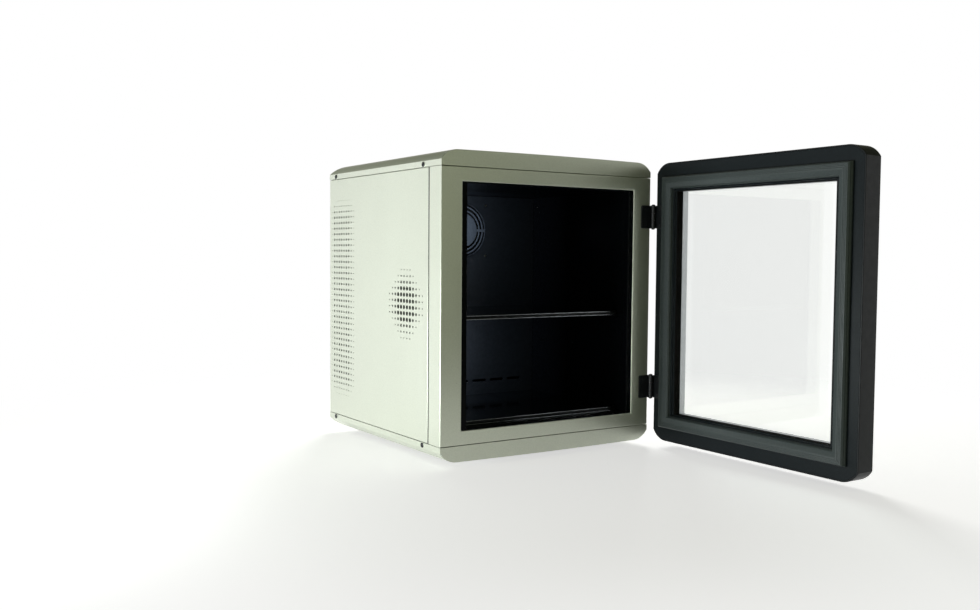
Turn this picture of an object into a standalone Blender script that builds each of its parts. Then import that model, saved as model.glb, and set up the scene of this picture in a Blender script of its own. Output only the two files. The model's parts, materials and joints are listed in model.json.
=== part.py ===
"""Refrigerated display case with a hinged glass door, shown with the door open at a right angle.

Cabinet frame: X to the right, Y to the rear, Z up from the floor, on the centre lines of the cabinet.
Sizes are in millimetres and become metres where the meshes are made.
"""

import math

import bmesh
import bpy
from mathutils import Vector

MM = 0.001

# Clearance between pieces that touch, and how far a cutter runs past the material that it cuts.
GAP = 0.3
OVER = 4.0

# Cabinet envelope.
CASE_W = 490.0
CASE_D = 475.0
SEAM_H = 500.0
COVER_H = 30.0
FOOT_H = 12.0
SHOULDER_R = 40.0
SHOULDER_RUN = 35.0
SHOULDER_STEPS = 6

# Sheet and wall thicknesses.
COVER_WALL = 2.0
SHEET = 1.2
FRAME_WALL = 2.0
LINER_WALL = 2.5

# Front frame and the groove between it and the side panels.
STILE = 44.0
RAIL = 26.0
FRAME_D = 41.5
GROOVE = 4.0
PANEL_FLANGE = 12.0
FRAME_EDGE = 0.8

# Perforation of the side panels: one pitch, a round vent and a band at the rear.
PITCH = 11.7
ROUND_DEPTH = 131.0
ROUND_HALF = 6
ROUND_HOLES = {4: 8.0, 5: 5.5, 6: 3.6}
BAND_BACK = 66.5
BAND_COLS = 5
BAND_STEP = 2
BAND_END = 50.0
BAND_HOLE = 9.0
BAND_EDGE_HOLE = 5.0

# Screws through the lips of the covers.
SCREW_FRONT = 64.0
SCREW_REAR = 34.0
SCREW_LIFT = 5.6
SCREW_HEAD_R = 4.3
SCREW_HEAD_H = 2.4
SCREW_CROWN = 1.7
SCREW_EDGE = 0.6
SCREW_R = 2.0
SCREW_LEN = 9.0
SCREW_HOLE_R = 2.3
TAB_W = 22.0
TAB_H = 9.0

# Compartment.
RIM_W = 11.5
LINER_SET = 1.5
DUCT_PLATE = 3.0
SIDE_AIR = 20.3
FOAM_REAR = 31.0
FOAM_INSET = 4.0
RIB_X = 114.0
RIB_T = 12.0
RIB_END = 4.0
LEDGE_W = 6.5
LEDGE_H = 6.0
LEDGE_SET = 4.0
LEDGE_BACK = 1.3
RETURN_SLOTS = 7
RETURN_STEP = 46.0
RETURN_W = 36.0
RETURN_H = 6.0
RETURN_LIFT = 34.0

# Shelves: pane with a front trim.
SHELF_CLEAR = 2.0
SHELF_FRONT = 28.7
SHELF_T = 8.5
SHELF_PANE_T = 5.0
SHELF_UPPER_TOP = 232.0
SHELF_CORNER = 10.0
TRIM_D = 12.0
TRIM_WALL = 1.5

# Fans, sinks and the module between them.
FAN_SIZE = 120.0
FAN_D = 25.0
FAN_BORE_R = 58.0
FAN_HUB_R = 20.0
FAN_WEB = 4.0
FAN_STRUT = 6.0
FAN_BLADES = 7
FAN_TIP_CLEAR = 2.5
FAN_DROP = 104.0
FAN_CORNER = 8.0
FAN_BORE_LIP = 1.0
ROTOR_SET = 2.0
BLADE_T = 1.6
BLADE_SET = 3.0
BLADE_TURNS = ((0.34, 0.0), (0.30, 0.10), (0.27, 0.24))
EXHAUST_CLEAR = 8.5
SLOT_RADII = (56.0, 47.5, 39.0)
SLOT_W = 4.6
SPOKE_W = 5.0
SLOT_STEPS = 6
SLOT_END_STEPS = 3
COLD_W = 120.0
COLD_H = 110.0
COLD_FIN = 15.0
COLD_BASE = 5.0
HOT_W = 170.0
HOT_H = 150.0
HOT_FIN = 25.0
HOT_BASE = 5.0
FIN_T = 2.0
COLD_FINS = 13
HOT_FINS = 16
MODULE_W = 40.0
MODULE_T = 3.8
BLOCK_W = 42.0
PORT_CLEAR = 1.5

# Slots of the rear panel: behind the exhaust fan and, lower, the intake.
EXHAUST_SLOTS = 9
EXHAUST_STEP = 12.0
EXHAUST_SLOT_H = 5.0
INTAKE_SLOTS = 7
INTAKE_STEP = 26.0
INTAKE_W = 6.0
INTAKE_H = 70.0
INTAKE_LIFT = 180.0
SLOT_CORNER = 2.0

# Power supply and mains inlet.
PSU_W = 150.0
PSU_H = 80.0
PSU_D = 55.0
PSU_X = -110.0
PSU_LIFT = 40.0
INLET_W = 27.0
INLET_H = 19.5
INLET_D = 22.0
INLET_X = 120.0
INLET_LIFT = 60.0
INLET_FLANGE = 6.0
INLET_FLANGE_H = 3.0
INLET_FLANGE_T = 1.5
SOCKET_WALL = 3.0
SOCKET_FLOOR = 5.0
BLADE_SPREAD = 6.0
BLADE_LOW = 2.0
BLADE_HIGH = 2.5
BLADE_W = 2.0
BLADE_H = 4.0
BLADE_BACK = 4.0
PSU_SLOTS = 5
PSU_SLOT_STEP = 22.0
PSU_SLOT_W = 4.0
PSU_SLOT_D = 3.0
PSU_SLOT_END = 15.0

# Door.
DOOR_INSET = 1.0
DOOR_T = 40.0
DOOR_GAP = 12.0
DOOR_SKIN = 2.5
FLANGE = 23.0
GASKET_W = 25.0
GASKET_CHAMFER = 4.5
GLASS_MARGIN = 57.4
GLASS_HOLD = 10.0
GLASS_T = 4.0
RECESS = 14.7
SPACER_BACK = 1.0
RIDGE_SET = 2.0
RIDGE_W = 2.4
RIDGE_H = 2.2

# Hinges: their axis stands outside the right side and in front of the front plane.
HINGE_OUT = 2.8
HINGE_FORE = 6.0
HINGE_LEN = 46.0
HINGE_SPREAD = 172.0
KNUCKLE_R = 5.0
PIN_R = 2.2
PIN_CLEAR = 0.25
LEAF_T = 2.2
CASE_LEAF = 25.0
DOOR_LEAF = 19.0
PIN_CAP_R = 4.0
PIN_CAP_H = 2.5
PIN_CAP_EDGE = 1.0

# Feet.
FOOT_R = 15.0
FOOT_TIP_R = 12.0
FOOT_SIDE = 85.0
FOOT_END = 85.0
FOOT_EDGE = 1.0

HALF_W = CASE_W / 2
Y_FRONT = -CASE_D / 2
Y_REAR = CASE_D / 2
Z_LOW = FOOT_H
Z_SEAM_LOW = FOOT_H + COVER_H
Z_SEAM_TOP = Z_SEAM_LOW + SEAM_H
Z_TOP = Z_SEAM_TOP + COVER_H
Z_MID = (Z_LOW + Z_TOP) / 2
OPEN_W = CASE_W - 2 * STILE
CLEAR_W = OPEN_W - 2 * RIM_W
FOAM_W = CASE_W - 2 * SIDE_AIR
FOOT_X = HALF_W - FOOT_SIDE
FOOT_Y = CASE_D / 2 - FOOT_END
OPEN_LOW = Z_SEAM_LOW + RAIL
OPEN_TOP = Z_SEAM_TOP - RAIL
FLOOR_Z = OPEN_LOW + GAP + LINER_WALL
CEILING_Z = OPEN_TOP - GAP - LINER_WALL
EXHAUST_Y = Y_REAR - SHEET - EXHAUST_CLEAR - FAN_D
HOT_Y = EXHAUST_Y - GAP - HOT_FIN - HOT_BASE
FOAM_BACK = HOT_Y - GAP
LINER_REAR = FOAM_BACK - FOAM_REAR - GAP - LINER_WALL
COLD_Y = LINER_REAR - GAP - COLD_BASE - COLD_FIN
FAN_Y = COLD_Y - GAP - FAN_D
DUCT_Y = FAN_Y - GAP - DUCT_PLATE
FAN_AXIS_Z = Z_SEAM_TOP - FAN_DROP
HINGE_X = HALF_W + HINGE_OUT
HINGE_Y = Y_FRONT - HINGE_FORE
DOOR_W = CASE_W - 2 * DOOR_INSET
DOOR_X = HINGE_X + DOOR_GAP - HINGE_FORE
DOOR_Y = HINGE_Y - HINGE_OUT - DOOR_INSET

# The origin lies on the floor, under the middle of the whole object with its door.
LEFT_END = -HALF_W - GAP - SCREW_HEAD_H
RIGHT_END = DOOR_X + DOOR_T
FRONT_END = DOOR_Y - DOOR_W
REAR_END = Y_REAR + INLET_FLANGE_T
SHIFT = Vector((-(LEFT_END + RIGHT_END) / 2, -(FRONT_END + REAR_END) / 2, 0.0))

for old in list(bpy.data.objects):
    bpy.data.objects.remove(old, do_unlink=True)


def add_prism(bm, outline, axis, low, high):
    """Straight prism over an outline given in the two axes across its own, in X, Y, Z order."""
    place = {
        "X": lambda a, b, c: (c, a, b),
        "Y": lambda a, b, c: (a, c, b),
        "Z": lambda a, b, c: (a, b, c),
    }[axis]
    rings = [[bm.verts.new(place(a, b, c)) for a, b in outline] for c in (low, high)]
    bm.faces.new(rings[0][::-1])
    bm.faces.new(rings[1])
    count = len(outline)
    for i in range(count):
        j = (i + 1) % count
        bm.faces.new((rings[0][i], rings[0][j], rings[1][j], rings[1][i]))


def add_box(bm, x, y, z):
    """Box over three (low, high) spans."""
    add_prism(bm, [(x[0], y[0]), (x[1], y[0]), (x[1], y[1]), (x[0], y[1])], "Z", z[0], z[1])


def circle(a, b, radius, sides, turn=0.0):
    """Regular outline round a point."""
    angles = [turn + 2 * math.pi * i / sides for i in range(sides)]
    return [(a + radius * math.cos(t), b + radius * math.sin(t)) for t in angles]


def rounded(low, high, radii, steps=4):
    """Rectangle from corner to corner with a radius at each: low-low, high-low, high-high, low-high."""
    corners = [
        (low[0], low[1], 1, 1, math.pi),
        (high[0], low[1], -1, 1, 1.5 * math.pi),
        (high[0], high[1], -1, -1, 0.0),
        (low[0], high[1], 1, -1, 0.5 * math.pi),
    ]
    points = []
    for (a, b, sa, sb, start), radius in zip(corners, radii):
        if radius == 0:
            points.append((a, b))
            continue
        for i in range(steps + 1):
            t = start + 0.5 * math.pi * i / steps
            points.append((a + sa * radius + radius * math.cos(t), b + sb * radius + radius * math.sin(t)))
    return points


def add_lathe(bm, profile, axis, centre, sides):
    """Turned solid: profile of (radius, distance along the axis), closed on the axis at both ends."""
    place = {
        "X": lambda r, c, s, h: (centre[0] + h, centre[1] + r * c, centre[2] + r * s),
        "Y": lambda r, c, s, h: (centre[0] + r * c, centre[1] + h, centre[2] + r * s),
        "Z": lambda r, c, s, h: (centre[0] + r * c, centre[1] + r * s, centre[2] + h),
    }[axis]
    rings = []
    for radius, along in profile:
        if radius == 0:
            rings.append([bm.verts.new(place(0, 0, 0, along))])
            continue
        turns = [2 * math.pi * i / sides for i in range(sides)]
        rings.append([bm.verts.new(place(radius, math.cos(t), math.sin(t), along)) for t in turns])
    for one, two in zip(rings, rings[1:]):
        for i in range(sides):
            j = (i + 1) % sides
            corners = [one[i % len(one)], one[j % len(one)], two[j % len(two)], two[i % len(two)]]
            bm.faces.new(list(dict.fromkeys(corners)))


def solid(name, bm, origin=(0.0, 0.0, 0.0)):
    """Object with the mesh in metres and its own origin at a point of the cabinet."""
    bmesh.ops.recalc_face_normals(bm, faces=bm.faces)
    mesh = bpy.data.meshes.new(name)
    for vert in bm.verts:
        vert.co = (vert.co - Vector(origin)) * MM
    bm.to_mesh(mesh)
    bm.free()
    obj = bpy.data.objects.new(name, mesh)
    obj.location = (Vector(origin) + SHIFT) * MM
    bpy.context.scene.collection.objects.link(obj)
    return obj


def combine(obj, bm, operation):
    """Cut from or join to an object the solids of a mesh; returns the helper."""
    tool = solid(obj.name + "_tool", bm)
    tool.hide_render = True
    tool.display_type = "WIRE"
    step = obj.modifiers.new(operation.lower(), "BOOLEAN")
    step.operation = operation
    step.solver = "EXACT"
    step.object = tool
    return tool


def cut(obj, bm):
    """Remove the solids of a mesh from an object."""
    return combine(obj, bm, "DIFFERENCE")


def join(obj, bm):
    """Add the solids of a mesh to an object."""
    return combine(obj, bm, "UNION")


def soften(obj, width, segments=1):
    """Small bevel on the sharp edges of an object."""
    step = obj.modifiers.new("edges", "BEVEL")
    step.width = width * MM
    step.segments = segments
    step.limit_method = "ANGLE"
    step.angle_limit = math.radians(50)


def finish(obj, colour, roughness, metallic=0.0, alpha=1.0):
    """Give an object its own material."""
    material = bpy.data.materials.new(obj.name + "_finish")
    material.use_nodes = True
    shader = material.node_tree.nodes["Principled BSDF"]
    shader.inputs["Base Color"].default_value = (*colour, 1.0)
    shader.inputs["Roughness"].default_value = roughness
    shader.inputs["Metallic"].default_value = metallic
    shader.inputs["Alpha"].default_value = alpha
    obj.data.materials.append(material)
    return obj


PAINT = (0.63, 0.66, 0.57)
BLACK = (0.012, 0.013, 0.015)
SLATE = (0.045, 0.06, 0.07)
ALLOY = (0.62, 0.63, 0.64)
FOAM = (0.02, 0.02, 0.02)


def shoulder_arc(half, top, inset):
    """Arc of a rounded shoulder from the top inward point out to the lip, as (outward, up) points."""
    radius = SHOULDER_R - inset
    end = math.acos((SHOULDER_RUN - inset) / radius)
    points = []
    for i in range(SHOULDER_STEPS + 1):
        t = 0.5 * math.pi + (end - 0.5 * math.pi) * i / SHOULDER_STEPS
        points.append((half - SHOULDER_RUN + radius * math.cos(t), top - SHOULDER_R + radius * math.sin(t)))
    return points


def cover_solid(name, inset, low, flip):
    """Body of a cover, set in by an inset: both shoulders and the rear edge are rounded."""
    level = (lambda z: Z_LOW + Z_TOP - z) if flip else (lambda z: z)
    right = shoulder_arc(HALF_W, Z_TOP, inset) + [(HALF_W - inset, low)]
    outline = [(-a, level(b)) for a, b in right[::-1]] + [(a, level(b)) for a, b in right]
    bm = bmesh.new()
    add_prism(bm, outline, "Y", Y_FRONT + inset, Y_REAR - inset)
    body = solid(name, bm)
    arc = shoulder_arc(Y_REAR, Z_TOP, inset)
    rim = arc + [(Y_REAR + OVER, arc[-1][1]), (Y_REAR + OVER, Z_TOP + OVER), (arc[0][0], Z_TOP + OVER)]
    bm = bmesh.new()
    add_prism(bm, [(a, level(b)) for a, b in rim], "X", -HALF_W - OVER, HALF_W + OVER)
    cut(body, bm)
    return body


def screw_spots():
    """Centre of each cover screw on its lip: name, side, depth position and height."""
    spots = []
    for row, z in (("top", Z_SEAM_TOP + SCREW_LIFT), ("low", Z_SEAM_LOW - SCREW_LIFT)):
        for side, tag in ((-1, "left"), (1, "right")):
            for place, y in (("front", Y_FRONT + SCREW_FRONT), ("rear", Y_REAR - SCREW_REAR)):
                spots.append((f"cover_screw_{row}_{tag}_{place}", side, y, z))
    return spots


def cut_screw_holes(obj, sides, rows):
    """Clearance holes for the cover screws on the given sides and heights."""
    bm = bmesh.new()
    for name, side, y, z in screw_spots():
        if side in sides and any(tag in name for tag in rows):
            span = sorted((side * (HALF_W + OVER), side * (HALF_W - PANEL_FLANGE)))
            add_prism(bm, circle(y, z, SCREW_HOLE_R, 8), "X", span[0], span[1])
    cut(obj, bm)


def make_covers():
    """Top and bottom covers: thin shells that close the cabinet above and below the seams."""
    for name, flip in (("top_cover", False), ("bottom_cover", True)):
        cover = cover_solid(name, 0.0, Z_SEAM_TOP + GAP / 2, flip)
        hollow = cover_solid(name + "_hollow", COVER_WALL, Z_SEAM_TOP - OVER, flip)
        hollow.hide_render = True
        hollow.display_type = "WIRE"
        step = cover.modifiers.new("hollow", "BOOLEAN")
        step.operation = "DIFFERENCE"
        step.solver = "EXACT"
        step.object = hollow
        cut_screw_holes(cover, (-1, 1), ("_low_",) if flip else ("_top_",))
        if flip:
            bm = bmesh.new()
            for x in (-RIB_X, RIB_X):
                span = (Z_LOW + COVER_WALL / 2, Z_SEAM_LOW + FOAM_INSET - GAP)
                run = (Y_FRONT + FRAME_D + RIB_END, FOAM_BACK - RIB_END)
                add_box(bm, (x - RIB_T / 2, x + RIB_T / 2), run, span)
            join(cover, bm)
        finish(cover, PAINT, 0.4)


def make_front_frame():
    """Front frame: a metal channel bent round the opening, open to the rear."""
    bm = bmesh.new()
    span = (Z_SEAM_LOW + GAP / 2, Z_SEAM_TOP - GAP / 2)
    add_box(bm, (-HALF_W, HALF_W), (Y_FRONT, Y_FRONT + FRAME_D), span)
    frame = solid("front_frame", bm)
    soften(frame, FRAME_EDGE)
    bm = bmesh.new()
    add_box(bm, (-OPEN_W / 2, OPEN_W / 2), (Y_FRONT - OVER, Y_FRONT + FRAME_D + OVER), (OPEN_LOW, OPEN_TOP))
    cut(frame, bm)
    deep = (Y_FRONT + FRAME_WALL, Y_FRONT + FRAME_D + OVER)
    side = (OPEN_W / 2 + FRAME_WALL, HALF_W - FRAME_WALL)
    low = (span[0] + FRAME_WALL, OPEN_LOW - FRAME_WALL)
    high = (OPEN_TOP + FRAME_WALL, span[1] - FRAME_WALL)
    ring = [(-side[1], low[0]), (side[1], low[0]), (side[1], high[1]), (-side[1], high[1])]
    hole = [(-side[0], low[1]), (side[0], low[1]), (side[0], high[0]), (-side[0], high[0])]
    bm = bmesh.new()
    sheets = []
    for y in deep:
        sheets.append([[bm.verts.new((x, y, z)) for x, z in loop] for loop in (ring, hole)])
    for i in range(4):
        j = (i + 1) % 4
        for (outer, inner), order in zip(sheets, (1, -1)):
            bm.faces.new([outer[i], outer[j], inner[j], inner[i]][::order])
        bm.faces.new((sheets[0][0][i], sheets[1][0][i], sheets[1][0][j], sheets[0][0][j]))
        bm.faces.new((sheets[0][1][i], sheets[0][1][j], sheets[1][1][j], sheets[1][1][i]))
    cut(frame, bm)
    finish(frame, PAINT, 0.4)


def vent_holes():
    """Holes of a side panel as (depth position, height, diameter, sides), fading out towards each rim."""
    middle = (Z_SEAM_LOW + Z_SEAM_TOP) / 2
    holes = []
    for i in range(-ROUND_HALF, ROUND_HALF):
        for j in range(-ROUND_HALF, ROUND_HALF):
            a = abs(i + 0.5)
            b = abs(j + 0.5)
            size = ROUND_HOLES.get(max(4, int(max(a + b, max(a, b) + 1.5))))
            if size:
                sides = 6 if size > 4 else 4
                y = Y_FRONT + ROUND_DEPTH + PITCH * (i + 0.5)
                holes.append((y, middle + PITCH * (j + 0.5), size, sides))
    rows = 1 + int((SEAM_H - 2 * BAND_END) / (PITCH * BAND_STEP))
    for i in range(BAND_COLS):
        for j in range(rows):
            edge = i in (0, BAND_COLS - 1) or j in (0, rows - 1)
            y = Y_REAR - BAND_BACK + PITCH * BAND_STEP * (i - (BAND_COLS - 1) / 2)
            z = middle + PITCH * BAND_STEP * (j - (rows - 1) / 2)
            holes.append((y, z, BAND_EDGE_HOLE if edge else BAND_HOLE, 4))
    return holes


def make_side_panels():
    """Side panels: sheet trays with the perforated vents and tabs behind the lips of the covers."""
    front = Y_FRONT + FRAME_D + GROOVE
    rear = Y_REAR - SHEET - GAP
    low = Z_SEAM_LOW + GAP / 2
    high = Z_SEAM_TOP - GAP / 2
    for side, name in ((-1, "left_side_panel"), (1, "right_side_panel")):
        def span(deep, far):
            return sorted((side * (HALF_W - deep), side * (HALF_W - far)))
        bm = bmesh.new()
        add_box(bm, span(0, PANEL_FLANGE), (front, rear), (low, high))
        panel = solid(name, bm)
        bm = bmesh.new()
        inner = ((front + SHEET, rear - SHEET), (low + SHEET, high - SHEET))
        add_box(bm, span(SHEET, PANEL_FLANGE + OVER), inner[0], inner[1])
        cut(panel, bm)
        bm = bmesh.new()
        for y, z, size, sides in vent_holes():
            outline = circle(y, z, size / 2, sides, math.pi / sides)
            limits = span(-OVER, SHEET + OVER)
            add_prism(bm, outline, "X", limits[0], limits[1])
        cut(panel, bm)
        bm = bmesh.new()
        inside = COVER_WALL + GAP
        for row, edge, sign in (("_top_", high, 1), ("_low_", low, -1)):
            for spot, spot_side, y, z in screw_spots():
                if spot_side == side and row in spot:
                    rise = sorted((edge - sign * SHEET / 2, edge + sign * TAB_H))
                    add_box(bm, span(inside, inside + SHEET), (y - TAB_W / 2, y + TAB_W / 2), rise)
        join(panel, bm)
        cut_screw_holes(panel, (side,), ("_top_", "_low_"))
        finish(panel, PAINT, 0.4)


def make_rear_panel():
    """Rear panel: flat sheet with slots behind the exhaust fan, a low intake and the inlet's cut-out."""
    span = (Z_SEAM_LOW + GAP / 2, Z_SEAM_TOP - GAP / 2)
    bm = bmesh.new()
    add_box(bm, (-HALF_W + SHEET, HALF_W - SHEET), (Y_REAR - SHEET, Y_REAR), span)
    panel = solid("rear_panel", bm)
    bm = bmesh.new()
    run = (Y_REAR - SHEET - OVER, Y_REAR + OVER)
    corners = (SLOT_CORNER,) * 4
    for i in range(EXHAUST_SLOTS):
        lift = EXHAUST_STEP * (i - (EXHAUST_SLOTS - 1) / 2)
        half = math.sqrt(FAN_BORE_R ** 2 - lift ** 2)
        low = FAN_AXIS_Z + lift - EXHAUST_SLOT_H / 2
        add_prism(bm, rounded((-half, low), (half, low + EXHAUST_SLOT_H), corners, 1), "Y", *run)
    for i in range(INTAKE_SLOTS):
        x = INTAKE_STEP * (i - (INTAKE_SLOTS - 1) / 2)
        low = Z_SEAM_LOW + INTAKE_LIFT
        slot = rounded((x - INTAKE_W / 2, low), (x + INTAKE_W / 2, low + INTAKE_H), corners, 1)
        add_prism(bm, slot, "Y", *run)
    inlet = Z_SEAM_LOW + INLET_LIFT
    half = INLET_W / 2 + GAP
    add_box(bm, (INLET_X - half, INLET_X + half), run, (inlet - INLET_H / 2 - GAP, inlet + INLET_H / 2 + GAP))
    cut(panel, bm)
    finish(panel, PAINT, 0.4)


def make_inlet_and_supply():
    """Mains inlet with its three blades in a socket, and the power supply in the rear space."""
    z = Z_SEAM_LOW + INLET_LIFT
    half = INLET_W / 2
    bm = bmesh.new()
    add_box(bm, (INLET_X - half, INLET_X + half), (Y_REAR - INLET_D, Y_REAR + INLET_FLANGE_T),
            (z - INLET_H / 2, z + INLET_H / 2))
    inlet = solid("mains_inlet", bm)
    bm = bmesh.new()
    wide = half + INLET_FLANGE
    tall = INLET_H / 2 + INLET_FLANGE_H
    plate = rounded((INLET_X - wide, z - tall), (INLET_X + wide, z + tall), (INLET_FLANGE_H,) * 4, 2)
    add_prism(bm, plate, "Y", Y_REAR + GAP, Y_REAR + INLET_FLANGE_T)
    join(inlet, bm)
    bm = bmesh.new()
    wide = half - SOCKET_WALL
    tall = INLET_H / 2 - SOCKET_WALL
    floor = Y_REAR - INLET_D + SOCKET_FLOOR
    add_box(bm, (INLET_X - wide, INLET_X + wide), (floor, Y_REAR + OVER), (z - tall, z + tall))
    cut(inlet, bm)
    bm = bmesh.new()
    for x, lift in ((-BLADE_SPREAD, -BLADE_LOW), (0, BLADE_HIGH), (BLADE_SPREAD, -BLADE_LOW)):
        side = (INLET_X + x - BLADE_W / 2, INLET_X + x + BLADE_W / 2)
        rise = (z + lift - BLADE_H / 2, z + lift + BLADE_H / 2)
        add_box(bm, side, (floor - SOCKET_FLOOR / 2, Y_REAR - BLADE_BACK), rise)
    join(inlet, bm)
    finish(inlet, BLACK, 0.4)
    low = Z_SEAM_LOW + PSU_LIFT
    bm = bmesh.new()
    add_box(bm, (PSU_X - PSU_W / 2, PSU_X + PSU_W / 2), (HOT_Y, HOT_Y + PSU_D), (low, low + PSU_H))
    supply = solid("power_supply", bm)
    bm = bmesh.new()
    for i in range(PSU_SLOTS):
        x = PSU_X + PSU_SLOT_STEP * (i - (PSU_SLOTS - 1) / 2)
        run = (HOT_Y + PSU_D - PSU_SLOT_D, HOT_Y + PSU_D + OVER)
        rise = (low + PSU_SLOT_END, low + PSU_H - PSU_SLOT_END)
        add_box(bm, (x - PSU_SLOT_W / 2, x + PSU_SLOT_W / 2), run, rise)
    cut(supply, bm)
    finish(supply, ALLOY, 0.5, 0.7)


def make_insulation():
    """Foam shell round the liner, with a port for the cold block through its rear wall."""
    low = Z_SEAM_LOW + FOAM_INSET
    high = Z_SEAM_TOP - FOAM_INSET
    front = Y_FRONT + FRAME_D + GAP
    bm = bmesh.new()
    add_box(bm, (-FOAM_W / 2, FOAM_W / 2), (front, FOAM_BACK), (low, high))
    foam = solid("insulation", bm)
    half = CLEAR_W / 2 + LINER_WALL + GAP
    bm = bmesh.new()
    add_box(bm, (-half, half), (front - OVER, LINER_REAR + LINER_WALL + GAP),
            (FLOOR_Z - LINER_WALL - GAP, CEILING_Z + LINER_WALL + GAP))
    cut(foam, bm)
    port = BLOCK_W / 2 + PORT_CLEAR
    bm = bmesh.new()
    add_box(bm, (-port, port), (LINER_REAR, FOAM_BACK + OVER), (FAN_AXIS_Z - port, FAN_AXIS_Z + port))
    cut(foam, bm)
    finish(foam, FOAM, 0.9)


def make_liner():
    """Inner liner: open box with a rim that fills the opening and ledges for the upper shelf."""
    half = CLEAR_W / 2 + LINER_WALL
    front = Y_FRONT + LINER_SET
    low = FLOOR_Z - LINER_WALL
    high = CEILING_Z + LINER_WALL
    bm = bmesh.new()
    add_box(bm, (-half, half), (front + LINER_WALL / 2, LINER_REAR + LINER_WALL), (low, high))
    liner = solid("inner_liner", bm)
    bm = bmesh.new()
    rim = OPEN_W / 2 - GAP
    add_box(bm, (-rim, rim), (front, front + LINER_WALL), (low, high))
    join(liner, bm)
    bm = bmesh.new()
    add_box(bm, (-CLEAR_W / 2, CLEAR_W / 2), (front - OVER, LINER_REAR), (FLOOR_Z, CEILING_Z))
    cut(liner, bm)
    port = BLOCK_W / 2 + PORT_CLEAR
    bm = bmesh.new()
    add_box(bm, (-port, port), (LINER_REAR - OVER, LINER_REAR + LINER_WALL + OVER),
            (FAN_AXIS_Z - port, FAN_AXIS_Z + port))
    cut(liner, bm)
    shelf_low = Z_SEAM_LOW + SHELF_UPPER_TOP - SHELF_T
    bm = bmesh.new()
    for side in (-1, 1):
        span = sorted((side * (CLEAR_W / 2 + LINER_WALL / 2), side * (CLEAR_W / 2 - LEDGE_W)))
        run = (Y_FRONT + SHELF_FRONT + LEDGE_SET, DUCT_Y - LEDGE_BACK)
        add_box(bm, span, run, (shelf_low - GAP - LEDGE_H, shelf_low - GAP))
    join(liner, bm)
    finish(liner, BLACK, 0.3)


def arc_slot(radius, width, start, end, steps):
    """Outline of a curved slot between two angles."""
    turns = [start + (end - start) * i / steps for i in range(steps + 1)]
    outer = [((radius + width / 2) * math.cos(t), (radius + width / 2) * math.sin(t)) for t in turns]
    inner = [((radius - width / 2) * math.cos(t), (radius - width / 2) * math.sin(t)) for t in turns]
    return outer + inner[::-1]


def ring_slot(radius, width, start, end, steps):
    """Outline of a curved slot between two angles, with round ends."""
    points = []
    for side, stop, first in ((1, end, start), (-1, start, end)):
        reach = radius + side * width / 2
        for i in range(steps + 1):
            t = first + (stop - first) * i / steps
            points.append((reach * math.cos(t), reach * math.sin(t)))
        for i in range(1, SLOT_END_STEPS):
            t = stop + math.pi * (i / SLOT_END_STEPS + (side < 0))
            points.append((radius * math.cos(stop) + width / 2 * math.cos(t),
                           radius * math.sin(stop) + width / 2 * math.sin(t)))
    return points


def make_duct_cover():
    """Rear duct cover: plate with a grille of ring slots before the fan and a row of return slots."""
    half = CLEAR_W / 2 - GAP
    bm = bmesh.new()
    add_box(bm, (-half, half), (DUCT_Y, DUCT_Y + DUCT_PLATE), (FLOOR_Z + GAP, CEILING_Z - GAP))
    plate = solid("rear_duct_cover", bm)
    run = (DUCT_Y - OVER, DUCT_Y + DUCT_PLATE + OVER)
    bm = bmesh.new()
    for radius in SLOT_RADII:
        trim = math.asin((SPOKE_W + SLOT_W) / 2 / radius)
        for quarter in range(4):
            start = quarter * math.pi / 2
            slot = ring_slot(radius, SLOT_W, start + trim, start + math.pi / 2 - trim, SLOT_STEPS)
            add_prism(bm, [(a, FAN_AXIS_Z + b) for a, b in slot], "Y", *run)
    for i in range(RETURN_SLOTS):
        x = RETURN_STEP * (i - (RETURN_SLOTS - 1) / 2)
        low = FLOOR_Z + RETURN_LIFT
        add_box(bm, (x - RETURN_W / 2, x + RETURN_W / 2), run, (low, low + RETURN_H))
    cut(plate, bm)
    finish(plate, BLACK, 0.35)


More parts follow.
